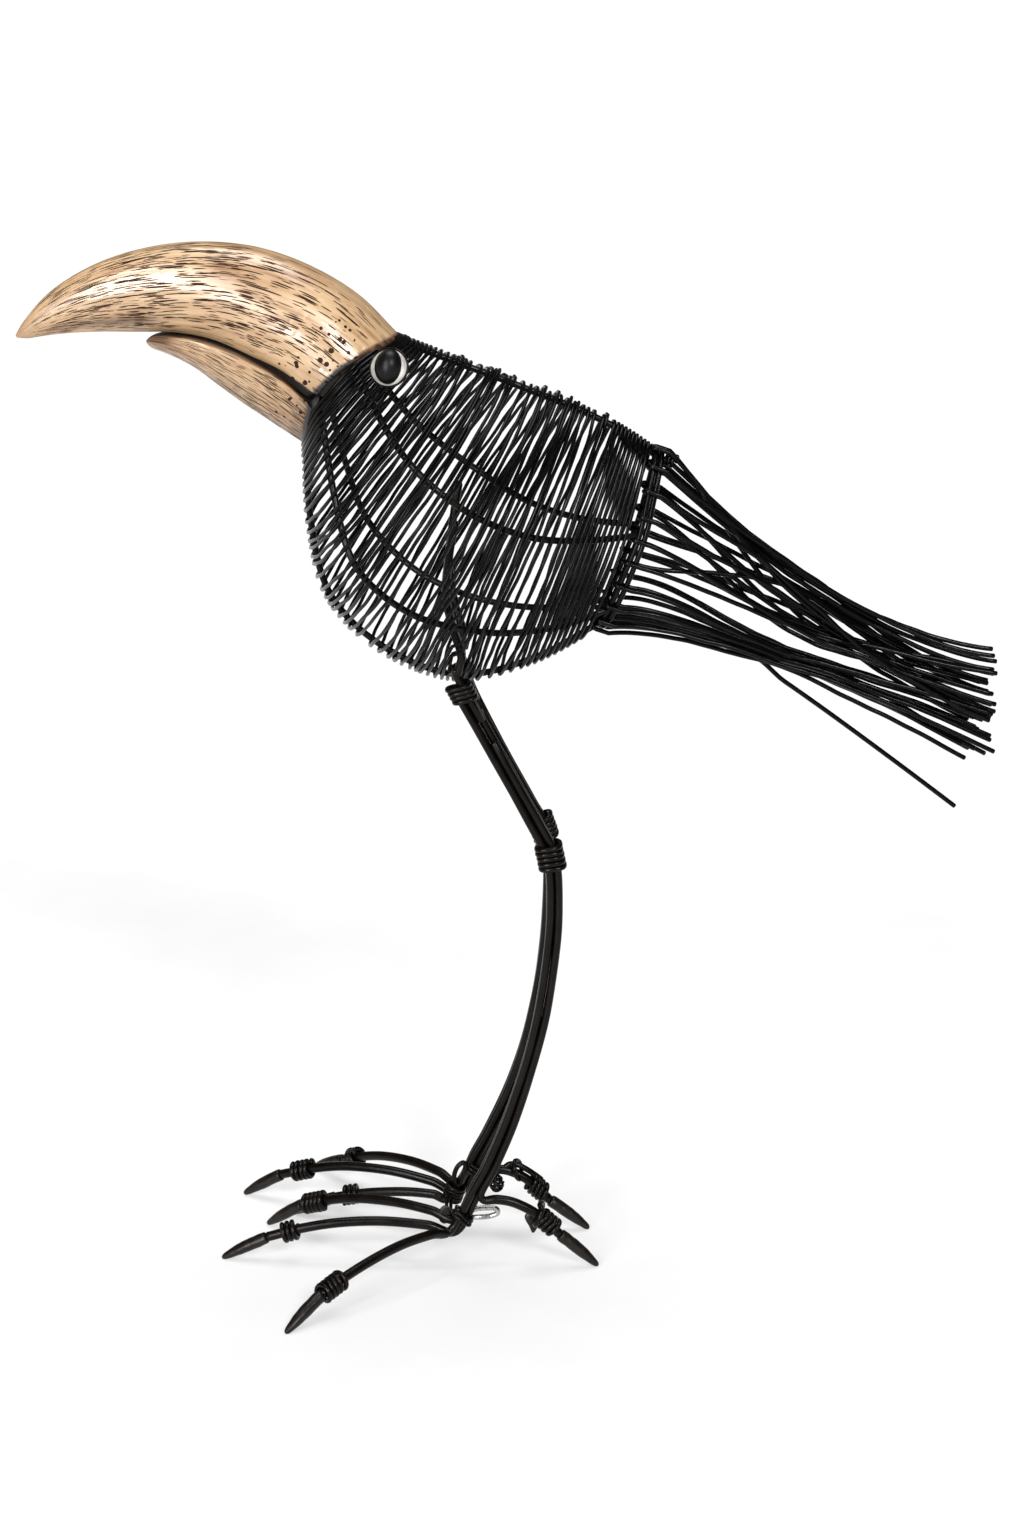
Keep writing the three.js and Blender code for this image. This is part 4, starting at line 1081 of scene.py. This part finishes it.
def hairpinPath(index, side, chance, decks):
    around = tail["hooks"][index] if side < 0 else 6 - tail["hooks"][index]
    centre = bodyPoint(1, around)
    middle = (bodyPoint(1, 0) + bodyPoint(1, 3)) / 2
    outward = (bodyPoint(1, around + 0.05) - bodyPoint(1, around - 0.05)).cross(tailAxis).normalized()
    if outward.dot(centre - middle) < 0:
        outward.negate()
    reach, spacing = tail["hookRadius"], tail["ringSpacing"]
    hook = []
    for step in range(9):
        angle = math.pi * step / 8
        ahead = tailAxis * (-spacing - reach * math.sin(angle))
        hook.append(centre + ahead + outward * (reach * math.cos(angle)))
    outer = centre + tailAxis * tail["lead"] + outward * reach
    inner = centre + tailAxis * tail["lead"] - outward * reach
    level = 1 - tail["hooks"][index] / 3
    paths = []
    for strand, start in enumerate((outer, inner)):
        # The lower strands gather along the bottom edge, a few along the top, and the others cross between
        if level < tail["lowBundle"]:
            waist, deck = mix(0.0, 0.24, level / tail["lowBundle"]), decks["low"]
        elif level > tail["highBundle"] and (index + strand) % 3:
            waist, deck = mix(0.84, 0.99, chance.random()), decks["high"]
        else:
            waist, deck = chance.uniform(0.3, 0.86), decks["middle"]
        if not deck["left"]:
            deck["left"] = deck["tips"][:]
            chance.shuffle(deck["left"])
        tip = deck["left"].pop()
        tip = (tip[0] - chance.random() ** 2 * 3.0, tip[1] + chance.uniform(-0.8, 0.8))
        isLoose = side < 0 and index == len(tail["hooks"]) - 1 and strand == 1
        if isLoose:
            tip, waist = tail["looseTip"], 0.05
        layer = tail["layers"][2 * strand + (index % 2)] * chance.uniform(0.9, 1.1)
        seed = index + 10 * side + 40 * strand
        paths.append(strandPath(start, side, layer, (level, waist), tip, seed, isLoose))
    away, back = paths
    return away[::-1] + [outer] + hook + [inner] + back


# The solids have fewer hairpins than the tail shows, so each group here stands for those beside it
def buildTail():
    chance = random.Random(5)
    places = {"high": (0, 6), "middle": (3, 16), "low": (13, 25)}
    decks = {name: {"tips": tail["tips"][first:last], "left": []}
             for name, (first, last) in places.items()}
    for sideName, side in (("left", -1), ("right", 1)):
        paths = [hairpinPath(index, side, chance, decks) for index in range(len(tail["hooks"]))]
        nodes = [f"{sideName}_tail_hairpin_{n}" for n in range(1, 8) if side < 0 or n > 1]
        groups = [[] for _ in nodes]
        for index, path in enumerate(paths):
            groups[min(len(nodes) - 1, index * len(nodes) // len(paths))].append(path)
        for node, group in zip(nodes, groups):
            placeWires(node + "_strands", group, tail["wireRadius"], 10, thinWire, node)


buildTail()
binding = coilPath(Vector((64.6, 0, 349.6)), tailAxis, sideways, 2.4, 3, 1.6, 12, 0.1)
placeWires("tail_ring_binding", [binding], 0.8, 10, thinWire)
print("tail:", 4 * len(tail["hooks"]), "strands")

# Studio: white floor, a soft light on each side of the camera, a wide one overhead and a faint surround.
# Each light has the direction that it comes from, its width in degrees and its strength.
studio = {
    "floorHalf": 12.0, "floorRim": 0.55, "paper": ("#a5a5a5", "#a8a8a8"), "glow": 0.5, "surround": 0.1,
    "lights": {"left_low": ((-0.46, -0.88, 0.06), 14, 1.1), "left_middle": ((-0.44, -0.86, 0.26), 14, 1.4),
               "left_high": ((-0.42, -0.74, 0.54), 14, 1.1), "right": ((0.3, -0.76, 0.56), 12, 1.9),
               "overhead": ((0.05, 0.12, 1.0), 36, 2.2)},
}
# The photograph's angle: 1.2 m away, sixteen degrees down, a 70 mm lens on the picture's long side
view = {"place": (0, -1.2112, 0.5662), "down": 16, "lens": 70.31, "sensor": 36, "reach": 100}


# Matt white card, lit from behind: it gives an even white ground that shows only soft, faint shadows
def paperCard():
    material, tree, shader = newMaterial("matt_white_card")
    place = addNode(tree, "TexCoord").outputs["Object"]
    fibres = addNode(tree, "TexNoise", inputs={"Vector": place, "Scale": 30.0, "Detail": 2.0})
    feed(tree, shader, {
        "Base Color": colourRamp(tree, fibres, list(zip((0.3, 0.7), studio["paper"]))),
        "Roughness": 0.7, "Specular IOR Level": 0.2,
        "Emission Color": (1, 1, 1, 1), "Emission Strength": studio["glow"]})
    return material


def buildFloor():
    half, rim = studio["floorHalf"], studio["floorRim"]
    corners = [(-half, -half), (half, -half), (half, half * 2), (-half, half * 2)]
    # The low rim hides the horizon
    sides = [(k, (k + 1) % 4, (k + 1) % 4 + 4, k + 4) for k in range(4)]
    mesh = bpy.data.meshes.new("studio_floor")
    mesh.from_pydata([(x, y, z) for z in (0, rim) for x, y in corners], [], [(0, 1, 2, 3)] + sides)
    mesh.materials.append(paperCard())
    floor = bpy.data.objects.new("studio_floor", mesh)
    bpy.context.scene.collection.objects.link(floor)


def placeLights():
    for name, (towards, degrees, strength) in studio["lights"].items():
        lamp = bpy.data.lights.new(name, "SUN")  # far away, so that the whole floor is lit alike
        lamp.energy = strength
        lamp.angle = math.radians(degrees)
        holder = bpy.data.objects.new(name, lamp)
        holder.rotation_euler = Vector(towards).to_track_quat("Z", "Y").to_euler()
        holder.location = Vector(towards) * 2
        bpy.context.scene.collection.objects.link(holder)
    world = bpy.data.worlds.new("surround")
    world.use_nodes = True
    sky = world.node_tree.nodes["Background"]
    sky.inputs["Color"].default_value = (1, 1, 1, 1)
    sky.inputs["Strength"].default_value = studio["surround"]
    bpy.context.scene.world = world
    bpy.context.scene.view_settings.view_transform = "Standard"


def placeCamera():
    camera = bpy.data.cameras.new("camera")
    camera.lens = view["lens"]
    camera.sensor_width = view["sensor"]
    camera.clip_end = view["reach"]
    holder = bpy.data.objects.new("camera", camera)
    holder.location = view["place"]
    holder.rotation_euler = (math.radians(90 - view["down"]), 0, 0)
    bpy.context.scene.collection.objects.link(holder)
    bpy.context.scene.camera = holder


buildFloor()
placeLights()
placeCamera()
bpy.context.view_layer.update()
print("studio and camera placed")
